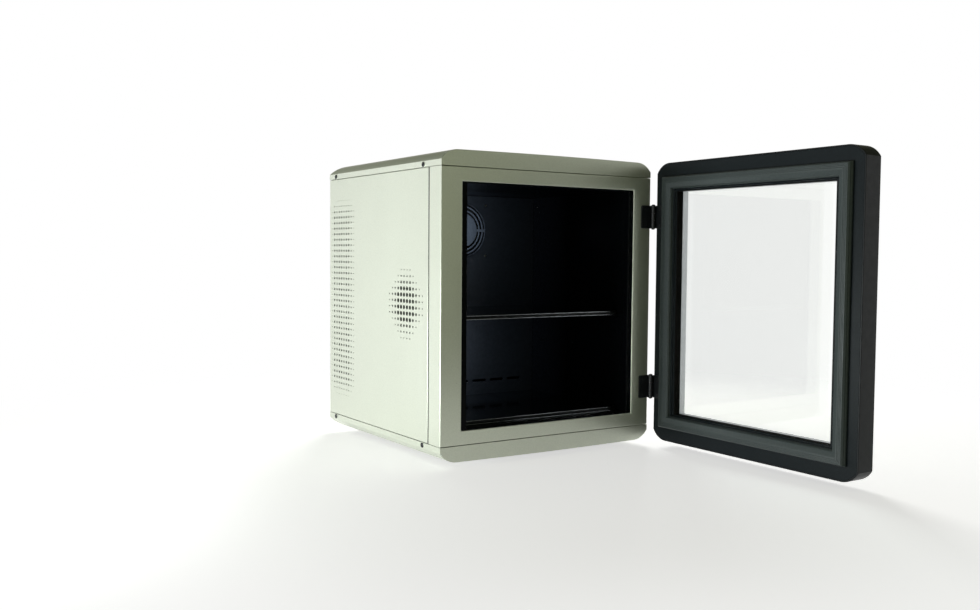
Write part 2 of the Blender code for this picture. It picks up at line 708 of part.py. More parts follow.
def make_fan(name, front):
    """Axial fan: square frame with a bore, a web with four struts behind, and a bladed rotor."""
    half = FAN_SIZE / 2
    low = (-half, FAN_AXIS_Z - half)
    high = (half, FAN_AXIS_Z + half)
    bm = bmesh.new()
    add_prism(bm, rounded(low, high, (FAN_CORNER,) * 4, 3), "Y", front, front + FAN_D)
    frame = solid(name + "_frame", bm)
    bm = bmesh.new()
    add_prism(bm, circle(0, FAN_AXIS_Z, FAN_BORE_R, 24), "Y", front - OVER, front + FAN_D - FAN_WEB)
    cut(frame, bm)
    bm = bmesh.new()
    reach = FAN_BORE_R - FAN_BORE_LIP
    middle = (reach + FAN_HUB_R) / 2
    wide = reach - FAN_HUB_R
    trim = math.asin(FAN_STRUT / 2 / middle)
    for quarter in range(4):
        start = quarter * math.pi / 2 + math.pi / 4
        pie = arc_slot(middle, wide, start + trim, start + math.pi / 2 - trim, 6)
        add_prism(bm, [(a, FAN_AXIS_Z + b) for a, b in pie], "Y", front + FAN_D - FAN_WEB - OVER,
                  front + FAN_D + OVER)
    cut(frame, bm)
    finish(frame, BLACK, 0.5)
    origin = (0.0, front, FAN_AXIS_Z)
    depth = FAN_D - FAN_WEB - GAP
    bm = bmesh.new()
    profile = [(0, ROTOR_SET), (FAN_HUB_R - ROTOR_SET, ROTOR_SET), (FAN_HUB_R, 2 * ROTOR_SET)]
    profile += [(FAN_HUB_R, depth), (0, depth)]
    add_lathe(bm, profile, "Y", origin, 14)
    rotor = solid(name + "_rotor", bm, origin)
    bm = bmesh.new()
    tip = FAN_BORE_R - FAN_TIP_CLEAR
    for blade in range(FAN_BLADES):
        start = 2 * math.pi * blade / FAN_BLADES
        rows = []
        root = FAN_HUB_R - 2 * ROTOR_SET
        edges = ((-1, ROTOR_SET + BLADE_SET), (1, depth - BLADE_SET))
        for radius, (spread, rake) in zip((root, (FAN_HUB_R + tip) / 2, tip), BLADE_TURNS):
            ring = []
            for face in (-BLADE_T / 2, BLADE_T / 2):
                for end, along in edges:
                    t = start + rake + end * spread
                    at = (radius * math.cos(t), front + along + face, FAN_AXIS_Z + radius * math.sin(t))
                    ring.append(bm.verts.new(at))
            rows.append([ring[0], ring[1], ring[3], ring[2]])
        bm.faces.new(rows[0])
        bm.faces.new(rows[2][::-1])
        for one, two in zip(rows, rows[1:]):
            for i in range(4):
                j = (i + 1) % 4
                bm.faces.new((one[i], two[i], two[j], one[j]))
    join(rotor, bm)
    finish(rotor, BLACK, 0.45)


def comb(width, fins, base_low, base_high, fin_tip):
    """Outline of a finned extrusion in X and Y: a base with fins that reach to a tip line."""
    step = (width - FIN_T) / (fins - 1)
    near, far = (base_low, base_high) if fin_tip < base_low else (base_high, base_low)
    points = [(-width / 2, far)]
    for i in range(fins):
        x = -width / 2 + i * step
        points += [(x, near)] if i else []
        points += [(x, fin_tip), (x + FIN_T, fin_tip)]
        points += [(x + FIN_T, near)] if i < fins - 1 else []
    return points + [(width / 2, far)]


def make_cooling():
    """Cold sink with its block, thermoelectric module and hot sink, stacked through the rear wall."""
    bm = bmesh.new()
    base = (COLD_Y + COLD_FIN, COLD_Y + COLD_FIN + COLD_BASE)
    outline = comb(COLD_W, COLD_FINS, base[0], base[1], COLD_Y)
    add_prism(bm, outline, "Z", FAN_AXIS_Z - COLD_H / 2, FAN_AXIS_Z + COLD_H / 2)
    cold = solid("cold_sink", bm)
    half = BLOCK_W / 2
    bm = bmesh.new()
    add_box(bm, (-half, half), (base[0] + COLD_BASE / 2, FOAM_BACK - MODULE_T - GAP),
            (FAN_AXIS_Z - half, FAN_AXIS_Z + half))
    join(cold, bm)
    finish(cold, ALLOY, 0.4, 1.0)
    half = MODULE_W / 2
    bm = bmesh.new()
    add_box(bm, (-half, half), (FOAM_BACK - MODULE_T, FOAM_BACK), (FAN_AXIS_Z - half, FAN_AXIS_Z + half))
    finish(solid("thermoelectric_module", bm), (0.8, 0.8, 0.78), 0.6)
    bm = bmesh.new()
    outline = comb(HOT_W, HOT_FINS, HOT_Y, HOT_Y + HOT_BASE, HOT_Y + HOT_BASE + HOT_FIN)
    add_prism(bm, outline, "Z", FAN_AXIS_Z - HOT_H / 2, FAN_AXIS_Z + HOT_H / 2)
    finish(solid("hot_sink", bm), ALLOY, 0.4, 1.0)


def make_shelf(name, low):
    """Shelf: pane with rounded front corners, lying in the rebate of a trim along its front edge."""
    half = CLEAR_W / 2 - SHELF_CLEAR
    front = Y_FRONT + SHELF_FRONT
    rear = DUCT_Y - SHELF_CLEAR
    middle = low + SHELF_T / 2
    pane_z = (middle - SHELF_PANE_T / 2, middle + SHELF_PANE_T / 2)
    inset = TRIM_WALL + GAP
    bm = bmesh.new()
    corner = SHELF_CORNER - inset
    outline = rounded((-half + inset, front + inset), (half - inset, rear), (corner, corner, 0, 0))
    add_prism(bm, outline, "Z", pane_z[0], pane_z[1])
    finish(solid(name + "_pane", bm), (0.02, 0.025, 0.03), 0.08)
    bm = bmesh.new()
    outline = rounded((-half, front), (half, front + TRIM_D), (SHELF_CORNER, SHELF_CORNER, 0, 0))
    add_prism(bm, outline, "Z", low, low + SHELF_T)
    trim = solid(name + "_trim", bm)
    bm = bmesh.new()
    corner = SHELF_CORNER - TRIM_WALL
    outline = rounded((-half + TRIM_WALL, front + TRIM_WALL), (half - TRIM_WALL, rear), (corner, corner, 0, 0))
    add_prism(bm, outline, "Z", pane_z[0] - GAP, low + SHELF_T + OVER)
    cut(trim, bm)
    finish(trim, BLACK, 0.12)


def door_outline(inset):
    """Outline of the door as (distance from the hinge edge, height), shaped like the cabinet's front."""
    total = DOOR_INSET + inset
    right = shoulder_arc(HALF_W, Z_TOP, total)
    top = [(HALF_W - DOOR_INSET - a, b) for a, b in right[::-1]]
    top += [(HALF_W - DOOR_INSET + a, b) for a, b in right]
    return top + [(a, Z_LOW + Z_TOP - b) for a, b in top[::-1]]


def door_prism(bm, outline, near, far):
    """Prism across the open door: outline in the door's own plane, depths from its inner face."""
    add_prism(bm, [(DOOR_Y - a, b) for a, b in outline], "X", DOOR_X + near, DOOR_X + far)


def door_rect(margin):
    """Rectangle at a margin inside the outline of the door."""
    low = Z_LOW + DOOR_INSET + margin
    high = Z_TOP - DOOR_INSET - margin
    return [(margin, low), (DOOR_W - margin, low), (DOOR_W - margin, high), (margin, high)]


def make_door():
    """Door: outer casing, inner frame, double glazing with a spacer and a soft gasket."""
    origin = (HINGE_X, HINGE_Y, 0.0)
    held = GLASS_MARGIN - GLASS_HOLD
    outer_glass = DOOR_T - DOOR_SKIN - GAP - GLASS_T

    bm = bmesh.new()
    door_prism(bm, door_outline(0.0), 0.0, DOOR_T)
    casing = solid("door_outer_frame", bm, origin)
    bm = bmesh.new()
    door_prism(bm, door_outline(DOOR_SKIN), -OVER, DOOR_T - DOOR_SKIN)
    cut(casing, bm)
    bm = bmesh.new()
    door_prism(bm, door_rect(GLASS_MARGIN), DOOR_T - DOOR_SKIN - OVER, DOOR_T + OVER)
    cut(casing, bm)
    finish(casing, BLACK, 0.35)

    bm = bmesh.new()
    door_prism(bm, door_outline(DOOR_SKIN + GAP), 0.0, DOOR_SKIN)
    inner = solid("door_inner_frame", bm, origin)
    bm = bmesh.new()
    door_prism(bm, door_rect(GLASS_MARGIN - DOOR_SKIN), DOOR_SKIN / 2, RECESS - GAP)
    join(inner, bm)
    ridge = FLANGE + GASKET_W + RIDGE_SET
    bm = bmesh.new()
    door_prism(bm, door_rect(ridge), -RIDGE_H, DOOR_SKIN / 2)
    join(inner, bm)
    bm = bmesh.new()
    door_prism(bm, door_rect(ridge + RIDGE_W), -OVER, 0.0)
    cut(inner, bm)
    bm = bmesh.new()
    door_prism(bm, door_rect(GLASS_MARGIN), -OVER, RECESS + OVER)
    cut(inner, bm)
    finish(inner, SLATE, 0.4)

    for name, near in (("inner_glass", RECESS), ("outer_glass", outer_glass)):
        bm = bmesh.new()
        door_prism(bm, door_rect(held), near, near + GLASS_T)
        finish(solid(name, bm, origin), (0.9, 0.93, 0.93), 0.03, 0.0, 0.25)

    bm = bmesh.new()
    door_prism(bm, door_rect(held), RECESS + GLASS_T + GAP, outer_glass - GAP)
    spacer = solid("glazing_spacer", bm, origin)
    bm = bmesh.new()
    door_prism(bm, door_rect(GLASS_MARGIN - SPACER_BACK), RECESS, outer_glass + OVER)
    cut(spacer, bm)
    finish(spacer, BLACK, 0.5)

    tip = DOOR_GAP - GAP
    profile = [(0, GAP), (0, tip - GASKET_CHAMFER), (GASKET_CHAMFER, tip), (GASKET_W - GASKET_CHAMFER, tip),
               (GASKET_W, tip - GASKET_CHAMFER), (GASKET_W, GAP)]
    bm = bmesh.new()
    loops = []
    for a, lift in profile:
        ring = door_rect(FLANGE + a)
        loops.append([bm.verts.new((DOOR_X - lift, DOOR_Y - u, z)) for u, z in ring])
    for one, two in zip(loops, loops[1:] + loops[:1]):
        for i in range(4):
            j = (i + 1) % 4
            bm.faces.new((one[i], one[j], two[j], two[i]))
    finish(solid("door_gasket", bm, origin), SLATE, 0.6)


def make_hinges():
    """Butt hinges: a leaf on the front frame, a leaf on the door and a pin through the knuckles."""
    third = HINGE_LEN / 3
    origin = (HINGE_X, HINGE_Y, 0.0)
    for tag, middle in (("upper", Z_MID + HINGE_SPREAD), ("lower", Z_MID - HINGE_SPREAD)):
        low = middle - HINGE_LEN / 2
        plate = (low, low + HINGE_LEN)
        bm = bmesh.new()
        back = Y_FRONT - GAP
        add_box(bm, (HALF_W - CASE_LEAF, HINGE_X + KNUCKLE_R), (back - LEAF_T, back), plate)
        leaf = solid(f"{tag}_hinge_case_leaf", bm)
        for first in (0, 2):
            bm = bmesh.new()
            span = (low + first * third, low + (first + 1) * third)
            add_prism(bm, circle(HINGE_X, HINGE_Y, KNUCKLE_R, 12), "Z", span[0], span[1])
            join(leaf, bm)
        bm = bmesh.new()
        room = KNUCKLE_R + GAP
        slot = (low + third - GAP, low + 2 * third + GAP)
        add_box(bm, (HINGE_X - room, HINGE_X + room), (HINGE_Y - room, HINGE_Y + room), slot)
        cut(leaf, bm)
        bore = circle(HINGE_X, HINGE_Y, PIN_R + PIN_CLEAR, 8)
        bm = bmesh.new()
        add_prism(bm, bore, "Z", low - OVER, low + HINGE_LEN + OVER)
        cut(leaf, bm)
        finish(leaf, BLACK, 0.4)

        bm = bmesh.new()
        face = DOOR_X - GAP
        add_box(bm, (face - LEAF_T, face), (DOOR_Y - DOOR_LEAF, HINGE_Y), plate)
        leaf = solid(f"{tag}_hinge_door_leaf", bm, origin)
        bm = bmesh.new()
        for span in ((low - OVER, low + third + GAP), (low + 2 * third - GAP, low + HINGE_LEN + OVER)):
            add_box(bm, (HINGE_X - room, HINGE_X + room), (HINGE_Y - room, HINGE_Y + room), span)
        cut(leaf, bm)
        bm = bmesh.new()
        add_prism(bm, circle(HINGE_X, HINGE_Y, KNUCKLE_R, 12), "Z", low + third + GAP, low + 2 * third - GAP)
        join(leaf, bm)
        bm = bmesh.new()
        add_prism(bm, bore, "Z", low - OVER, low + HINGE_LEN + OVER)
        cut(leaf, bm)
        finish(leaf, BLACK, 0.4)

        bm = bmesh.new()
        neck = PIN_CAP_R - PIN_CAP_EDGE
        rise = PIN_CAP_H - PIN_CAP_EDGE
        half = [(0, PIN_CAP_H), (neck, PIN_CAP_H), (PIN_CAP_R, rise), (PIN_CAP_R, GAP), (PIN_R, GAP)]
        profile = [(r, low - h) for r, h in half] + [(r, low + HINGE_LEN + h) for r, h in half[::-1]]
        add_lathe(bm, profile, "Z", (HINGE_X, HINGE_Y, 0.0), 8)
        finish(solid(f"{tag}_hinge_pin", bm, origin), (0.3, 0.3, 0.31), 0.3, 1.0)


def make_feet_and_screws():
    """Four round feet under the bottom cover and the pan-head screws in the lips."""
    for tag_y, y in (("front", -FOOT_Y), ("rear", FOOT_Y)):
        for tag_x, x in (("left", -FOOT_X), ("right", FOOT_X)):
            bm = bmesh.new()
            profile = [(0, 0), (FOOT_TIP_R - FOOT_EDGE, 0), (FOOT_TIP_R, FOOT_EDGE)]
            profile += [(FOOT_R, Z_LOW - GAP), (0, Z_LOW - GAP)]
            add_lathe(bm, profile, "Z", (x, y, 0.0), 12)
            finish(solid(f"foot_{tag_y}_{tag_x}", bm), BLACK, 0.8)
    for name, side, y, z in screw_spots():
        head = HALF_W + GAP
        tip = HALF_W - SCREW_LEN
        profile = [(0, head + SCREW_HEAD_H), (SCREW_HEAD_R - SCREW_CROWN, head + SCREW_HEAD_H - SCREW_EDGE)]
        profile += [(SCREW_HEAD_R, head + SCREW_EDGE), (SCREW_HEAD_R, head), (SCREW_R, head)]
        profile += [(SCREW_R, tip), (0, tip)]
        bm = bmesh.new()
        add_lathe(bm, [(r, side * along) for r, along in profile], "X", (0.0, y, z), 8)
        finish(solid(name, bm), BLACK, 0.35)


make_covers()
make_front_frame()
make_side_panels()
make_rear_panel()
make_inlet_and_supply()
make_insulation()
make_liner()
make_duct_cover()
make_fan("circulation_fan", FAN_Y)
make_fan("exhaust_fan", EXHAUST_Y)
make_cooling()
make_shelf("upper_shelf", Z_SEAM_LOW + SHELF_UPPER_TOP - SHELF_T)
make_shelf("lower_shelf", FLOOR_Z + GAP)
make_door()
make_hinges()
make_feet_and_screws()
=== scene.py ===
"""Looks of a refrigerated display case with an open glass door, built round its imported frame."""
import json
import math

import bmesh
import bpy
import numpy as np
from mathutils import Matrix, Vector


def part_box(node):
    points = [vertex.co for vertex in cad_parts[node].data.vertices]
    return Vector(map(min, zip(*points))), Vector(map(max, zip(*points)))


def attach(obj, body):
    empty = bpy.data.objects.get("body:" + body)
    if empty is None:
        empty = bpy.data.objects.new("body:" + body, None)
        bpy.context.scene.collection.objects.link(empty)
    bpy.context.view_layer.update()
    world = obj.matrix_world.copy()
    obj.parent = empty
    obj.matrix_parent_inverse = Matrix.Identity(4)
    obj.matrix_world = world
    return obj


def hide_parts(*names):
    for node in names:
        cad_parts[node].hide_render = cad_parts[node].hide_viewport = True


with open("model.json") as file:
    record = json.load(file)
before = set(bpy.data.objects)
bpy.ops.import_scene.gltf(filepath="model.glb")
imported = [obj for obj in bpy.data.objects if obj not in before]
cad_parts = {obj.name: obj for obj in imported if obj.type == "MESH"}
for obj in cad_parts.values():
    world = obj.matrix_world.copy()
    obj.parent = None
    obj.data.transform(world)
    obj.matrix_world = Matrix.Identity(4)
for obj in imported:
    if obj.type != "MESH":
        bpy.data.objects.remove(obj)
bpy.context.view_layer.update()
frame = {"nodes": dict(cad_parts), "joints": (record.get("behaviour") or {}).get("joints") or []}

# A millimetre in metres, and the distance within which two points are one.
MM = 0.001
WELD = 2e-6

# Clearance between pieces that touch.
GAP = 0.3 * MM

# Angle in degrees up to which faces shade as one, and the one past which an edge is rounded.
SHARP = 28.0
EDGE_ANGLE = 60.0
EDGE_SEGMENTS = 3

# How far behind a sheet lies the point that it faces away from.
BEHIND = 0.5

# Covers.
SHOULDER_R = 42.5 * MM
SHOULDER_RUN = 35.0 * MM
SHOULDER_STEPS = 14
LIP_STEPS = 3
FLAT_STEPS = 8
DEPTH_STEPS = 12
CROWN = 1.2 * MM
CROWN_FADE = 0.3
COVER_WALL = 2.0 * MM
COVER_EDGE = 0.7 * MM
SEAM_SHOW = 0.6 * MM

# Sheet metal.
SHEET = 0.8 * MM
BEND = 1.0 * MM
FLANGE_IN = 12.0 * MM
FRAME_WALL = 1.6 * MM
FRAME_EDGE = 1.6 * MM
# Setback and thickness of the dark bars in the grooves beside the front frame, which are painted shade.
SHADE_BAR_SET = 0.1 * MM
SHADE_BAR_T = 2.0 * MM

# Perforation of the side panels.
PITCH = 11.7 * MM
ROUND_DEPTH = 131.0 * MM
ROUND_HALF = 6
OCTAGON = 1.5
ROUND_HOLES = ((4, 8.2 * MM), (5, 6.0 * MM), (6, 4.2 * MM), (7, 3.0 * MM))
BAND_DEPTH = 408.5 * MM
BAND_HALF_ROWS = 18
BAND_COLUMNS = np.array([2.4, 4.0, 5.4, 5.4, 5.4, 5.4, 5.4, 5.4, 5.4, 2.4]) * MM
BAND_FADE = (0.34, 0.58, 0.84)
HOLE_TURNS = 16

# Rear panel slots.
EXHAUST_SLOTS = 9
EXHAUST_STEP = 12.0 * MM
EXHAUST_SLOT_R = 2.5 * MM
EXHAUST_REACH = 58.0 * MM
EXHAUST_MARGIN = 6.0 * MM
INTAKE_SLOTS = 7
INTAKE_STEP = 26.0 * MM
INTAKE_R = 3.0 * MM
INTAKE_H = 70.0 * MM
INTAKE_LIFT = 180.0 * MM
INTAKE_MARGIN = 4.0 * MM
INLET_CORNER = 1.0 * MM
INLET_FLANGE = (6.0 * MM, 3.0 * MM)
INLET_MARGIN = 8.0 * MM

# Compartment.
LINER_WALL = 2.5 * MM
RIM = 11.2 * MM
LINER_EDGE = 1.6 * MM
LINER_CORNER = 3.0 * MM
LEDGE_W = 6.5 * MM
LEDGE_H = 6.0 * MM
LEDGE_SET = 4.0 * MM
LEDGE_ROUND = (1.2 * MM, 2.5 * MM)
LEDGE_EDGE = 0.5 * MM
PORT = 22.5 * MM
DUCT_WALL = 2.0 * MM
RETURN_SLOTS = 7
RETURN_STEP = 46.0 * MM
RETURN_HALF = 18.0 * MM
RETURN_R = 3.0 * MM
RETURN_LIFT = 33.7 * MM
RETURN_MARGIN = 3.0 * MM

# Fan grille in the duct cover.
GRILLE_R = 58.3 * MM
GRILLE_T = 2.0 * MM
GRILLE_MARGIN = 6.0 * MM
GRILLE_RIBS = (43.25 * MM, 51.75 * MM)
GRILLE_RIB_W = 3.0 * MM
GRILLE_RIB_ROUND = 0.9 * MM
GRILLE_HUB = 36.7 * MM
HUB_DISH = 1.2 * MM
HUB_BORE = 0.3 * MM
GRILLE_SPOKE = 6.0 * MM
SPOKE_OVER = 1.0 * MM
SPOKE_EDGE = 0.4 * MM
SPOKE_CORNER = 0.6 * MM
SPOKE_LEVELS = np.array([0.2, 0.6, 1.8]) * MM
GRILLE_TURNS = 96
GRILLE_SCREWS = (59.0 * MM, 55.0 * MM)

# Shelves.
TRIM_WALL = 1.5 * MM
TRIM_EDGE = 1.0 * MM
TRIM_BACK_EDGE = 0.3 * MM
TRIM_LIP = 1.45 * MM
TRIM_REACH = 8.5 * MM
BEAD_R = 0.9 * MM
BEAD_OUT = 0.2 * MM
BEAD_SET = 1.1 * MM
BEAD_TURNS = 12
SHELF_CORNER = 10.0 * MM
PANE_EDGE = 0.8 * MM
PANE_RIM = 4.0 * MM

# Door.
DOOR_INSET = 1.0 * MM
DOOR_SKIN = 2.5 * MM
DOOR_EDGE = 3.0 * MM
CASING_EDGE = 0.8 * MM
DOOR_SHOULDER_R = 40.0 * MM
DOOR_STEPS = 12
WINDOW = 57.4 * MM
WINDOW_CORNER = 1.5 * MM
RECESS = 14.4 * MM
SEAT = 23.0 * MM
SEAT_END = 48.0 * MM
END_SEAT = 27.5 * MM
END_SEAT_END = 52.5 * MM
CASING_WINDOW = 50.0 * MM

# Step, ridge and sill of the door's inner trim, with insets counted from the end of the gasket's seat.
STEP_IN = 0.8 * MM
STEP_DEEP = 1.4 * MM
RIDGE_IN = (2.0 * MM, 4.4 * MM, 5.4 * MM)
RIDGE_H = 2.2 * MM
SILL_DEEP = 1.6 * MM
INNER_TRIM_ROUND = np.array([0.5, 0.3, 0, 0, 0.6, 0.7, 0.5, 0.2, 0, 0, 0, 0]) * MM

# Rubber bead and spacer bar round the glass.
GLAZING_BEAD = 1.5 * MM
BEAD_FACE = (1.9 * MM, 2.2 * MM)
BEAD_FACE_ROUND = (0.1 * MM, 0.6 * MM)
LAP = 0.05 * MM
SPACER_IN = 56.4 * MM
SPACER_BAR = 0.8 * MM
SPACER_CLEAR = 0.1 * MM
SPACER_TAPER = (0.2 * MM, 1.0 * MM)

# Gasket section as (inset, height, corner radius): its bellows, the ribbed face from its tip, and its heel.
BELLOWS = np.array([(0, 0, 0), (0, -3.0, 0.8), (1.4, -5.2, 0.6), (0.8, -7.6, 0.8)]) * MM
FACE_START = np.array([(3.2, 0, 1.2)]) * MM
FACE_RIB = np.array([(0, 0, 0.12), (0.35, 0.7, 0.12), (0.7, 0, 0.12)]) * MM
FACE_RIBS_IN = (5.0 * MM, 7.5 * MM, 10.0 * MM)
FACE_END = np.array([(14.0, 0.4, 4.0), (22.0, 3.2, 2.0)]) * MM
HEEL = np.array([(24.4, -5.0, 0.8), (23.6, -3.0, 0.6), (25.0, 0, 0)]) * MM

# Hinges.
KNUCKLE_R = 5.0 * MM
KNUCKLE_EDGE = 0.5 * MM
KNUCKLE_CLEAR = 0.6 * MM
WEB_BACK = 0.5 * MM
LEAF_T = 2.2 * MM
LEAF_CORNER = 3.0 * MM
LEAF_BACK = 0.5 * MM
LEAF_EDGE = 0.15 * MM
PIN_R = 2.2 * MM
PIN_HEAD_R = 4.0 * MM
PIN_HEAD_H = 2.2 * MM

# Screws, each size a head's radius and height, and the cross recess as shares of the radius.
COVER_SCREW = (4.6 * MM, 2.4 * MM)
LEAF_SCREW = (3.2 * MM, 0.9 * MM)
LINER_SCREW = (2.6 * MM, 1.2 * MM)
WALL_SCREW_BACK = 13.0 * MM
CROSS_HALF = 0.16
CROSS_REACH = 0.62
CROSS_SLOPE = (0.05, 0.04)
HEAD_RIM = 0.88
HEAD_SIDE = 0.45
DIMPLE_R = 5.1 * MM
DIMPLE_HALF = 0.6 * MM
DIMPLE_H = 0.4 * MM
DIMPLE_TURNS = 40

# Feet: radii of bore, tread, wall, grooves, ribs and top, and of the rounded corners.
FOOT_BORE = 2.0 * MM
FOOT_TREAD = 11.5 * MM
FOOT_WALL = 12.6 * MM
FOOT_GROOVE = 12.8 * MM
FOOT_RIB = 13.8 * MM
FOOT_TOP = 14.6 * MM
FOOT_ROUND = (1.0 * MM, 0.2 * MM)
FOOT_TURNS = 40
FOOT_RIBS = 3

# Levels of the feet's ribs and top, in sixths of a foot's height.
RIB_START = 1.4
RIB_STEP = 1.3
RIB_RISE = 0.3
RIB_END = 0.9
TOP_BAND = 0.2

# Floor, in metres and as a share of white.
FLOOR_REACH = 30.0
FLOOR_FADE = (0.5, 1.5)
FLOOR_GLOW = 0.62

# Room in front and ceiling: cosines of the ways between which they fade, and shares of white.
ROOM_EDGE = (-0.86, -0.72)
ROOM_DIM = 0.03
CEILING_EDGE = (0.22, 0.48)
CEILING_DIM = 0.12

# Strength of the light from all round.
WORLD_FILL = 0.15

# Camera: yaw, pitch and roll in degrees, and its place from the middle of the front frame's lower edge.
CAMERA_TURN = (33.1987, -2.9624, 0.44206)
CAMERA_PLACE = np.array([-1127.1, -1506.8, 345.25]) * MM
CAMERA_LENS = 36.357
CAMERA_SENSOR = 36.0


def corners(node):
    """Lowest and highest corner of a node at rest."""
    low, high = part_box(node)
    return np.array(low), np.array(high)


FRONT_LOW, FRONT_HIGH = corners("front_frame")
TOP_LOW, TOP_HIGH = corners("top_cover")
LINER_LOW, LINER_HIGH = corners("inner_liner")
DUCT_LOW, DUCT_HIGH = corners("rear_duct_cover")
REAR_LOW, REAR_HIGH = corners("rear_panel")
DOOR_LOW, DOOR_HIGH = corners("door_outer_frame")
MID = (FRONT_LOW + FRONT_HIGH) / 2
# A level taken from this sum is the mirrored level of the bottom cover.
LEVEL_SUM = TOP_HIGH[2] + corners("bottom_cover")[0][2]
JOINT = {joint["name"]: np.array(joint.get("pos_m", (0, 0, 0))) for joint in frame["joints"]}
FAN_AXIS = JOINT["circulation_fan_spin"]
HINGE_AXIS = JOINT["door_hinge"]


# Materials


def linear(code):
    """Linear colour of an sRGB hex value."""
    share = np.array([int(code[i:i + 2], 16) for i in (1, 3, 5)]) / 255
    value = np.where(share <= 0.04045, share / 12.92, ((share + 0.055) / 1.055) ** 2.4)
    return (*value.tolist(), 1.0)


def add(tree, kind, sockets=None, **settings):
    """Node of a kind with its settings; a socket takes a constant or another node's output."""
    made = tree.nodes.new("ShaderNode" + kind)
    for key, value in settings.items():
        setattr(made, key, value)
    for key, value in (sockets or {}).items():
        if isinstance(value, bpy.types.NodeSocket):
            tree.links.new(value, made.inputs[key])
        else:
            made.inputs[key].default_value = value
    return made


def blank(name, sockets):
    """New material: itself, its tree, its shader with constant sockets set, and Object coordinates."""
    material = bpy.data.materials.new(name)
    material.use_nodes = True
    tree = material.node_tree
    shader = tree.nodes["Principled BSDF"]
    for key, value in sockets.items():
        shader.inputs[key].default_value = value
    return material, tree, shader, add(tree, "TexCoord").outputs["Object"]


def grained(name, shades, grain, rough, relief, sockets, stretch=(1.0, 1.0, 1.0)):
    """Surface with a grain: colour between two shades, roughness between two values, and a relief.

    A noise whose scale is one over the grain size moves colour and relief. A slower one, of twelve grains,
    moves the roughness."""
    material, tree, shader, place = blank(name, sockets)
    drawn = add(tree, "Mapping", {"Vector": place, "Scale": stretch}).outputs["Vector"]
    fine = add(tree, "TexNoise", {"Vector": drawn, "Scale": 1 / grain, "Detail": 3.0}).outputs["Fac"]
    slow = add(tree, "TexNoise", {"Vector": place, "Scale": 1 / (12 * grain), "Detail": 2.0}).outputs["Fac"]
    spread = add(tree, "MapRange", {"Value": fine, "From Min": 0.3, "From Max": 0.7}).outputs["Result"]
    blend = {"Factor": spread, 6: linear(shades[0]), 7: linear(shades[1])}
    colour = add(tree, "Mix", blend, data_type="RGBA").outputs[2]
    tree.links.new(colour, shader.inputs["Base Color"])
    gloss = {"Value": slow, "From Min": 0.3, "From Max": 0.7, "To Min": rough[0], "To Max": rough[1]}
    tree.links.new(add(tree, "MapRange", gloss).outputs["Result"], shader.inputs["Roughness"])
    bump = add(tree, "Bump", {"Height": fine, "Strength": 0.6, "Distance": relief})
    tree.links.new(bump.outputs["Normal"], shader.inputs["Normal"])
    return material


def metallic_powder_coat():
    """Powder coat with aluminium flake on steel sheet: pale green-grey, satin, with some orange peel."""
    sockets = {"Specular IOR Level": 0.16, "Metallic": 0.6}
    material, tree, shader, place = blank("metallic_powder_coat", sockets)
    # Flake is drawn at 1.2 mm, coarser than the real 0.05 mm, so that it shows.
    flake = add(tree, "TexVoronoi", {"Vector": place, "Scale": 1 / (1.2 * MM)}).outputs["Color"]
    peel = add(tree, "TexNoise", {"Vector": place, "Scale": 1 / (2.5 * MM), "Detail": 2.0}).outputs["Fac"]
    cloud = add(tree, "TexNoise", {"Vector": place, "Scale": 1 / (120 * MM), "Detail": 3.0}).outputs["Fac"]
    blend = {"Factor": cloud, 6: linear("#D8DDCF"), 7: linear("#DFE4D6")}
    base = add(tree, "Mix", blend, data_type="RGBA").outputs[2]
    glint = add(tree, "SeparateColor", {"Color": flake}).outputs["Red"]
    tone = add(tree, "MapRange", {"Value": glint, "To Min": 0.96, "To Max": 1.04}).outputs["Result"]
    # Sparse specks, a millimetre across and some 45 mm apart.
    far = add(tree, "TexVoronoi", {"Vector": place, "Scale": 1 / (45 * MM)}).outputs["Distance"]
    speck = {"Value": far, "From Min": 0.012, "From Max": 0.02, "To Min": 0.62}
    speck = add(tree, "MapRange", speck).outputs["Result"]
    tone = add(tree, "Math", {0: tone, 1: speck}, operation="MULTIPLY").outputs[0]
    scaled = add(tree, "HueSaturation", {"Value": tone, "Color": base}).outputs["Color"]
    tree.links.new(scaled, shader.inputs["Base Color"])
    gloss = add(tree, "MapRange", {"Value": peel, "To Min": 0.3, "To Max": 0.36}).outputs["Result"]
    tree.links.new(gloss, shader.inputs["Roughness"])
    bump = add(tree, "Bump", {"Height": peel, "Strength": 0.1, "Distance": 0.03 * MM})
    tree.links.new(bump.outputs["Normal"], shader.inputs["Normal"])
    return material


def clear_float_glass():
    """Clear float glass, polished, with a faint film that dulls it in soft patches."""
    sockets = {"Base Color": linear("#FEFFFE"), "IOR": 1.5, "Transmission Weight": 1.0}
    material, tree, shader, place = blank("clear_float_glass", sockets)
    film = add(tree, "TexNoise", {"Vector": place, "Scale": 1 / (90 * MM), "Detail": 4.0}).outputs["Fac"]
    gloss = {"Value": film, "From Min": 0.2, "From Max": 0.8, "To Min": 0.004, "To Max": 0.012}
    tree.links.new(add(tree, "MapRange", gloss).outputs["Result"], shader.inputs["Roughness"])
    # Lamps shine through the pane.
    shadow = add(tree, "LightPath").outputs["Is Shadow Ray"]
    through = add(tree, "BsdfTransparent", {"Color": linear("#EDF0EF")}).outputs["BSDF"]
    mixed = add(tree, "MixShader", {0: shadow, 1: shader.outputs["BSDF"], 2: through}).outputs["Shader"]
    tree.links.new(mixed, tree.nodes["Material Output"].inputs["Surface"])
    return material


PAINT = metallic_powder_coat()
GLASS = clear_float_glass()
# High-impact polystyrene, vacuum formed: deep black with a soft gloss and a slight waviness.
LINER = grained("black_polystyrene", ("#090B0E", "#0E1115"), 6 * MM, (0.2, 0.26), 0.02 * MM,
                {"Specular IOR Level": 0.05})
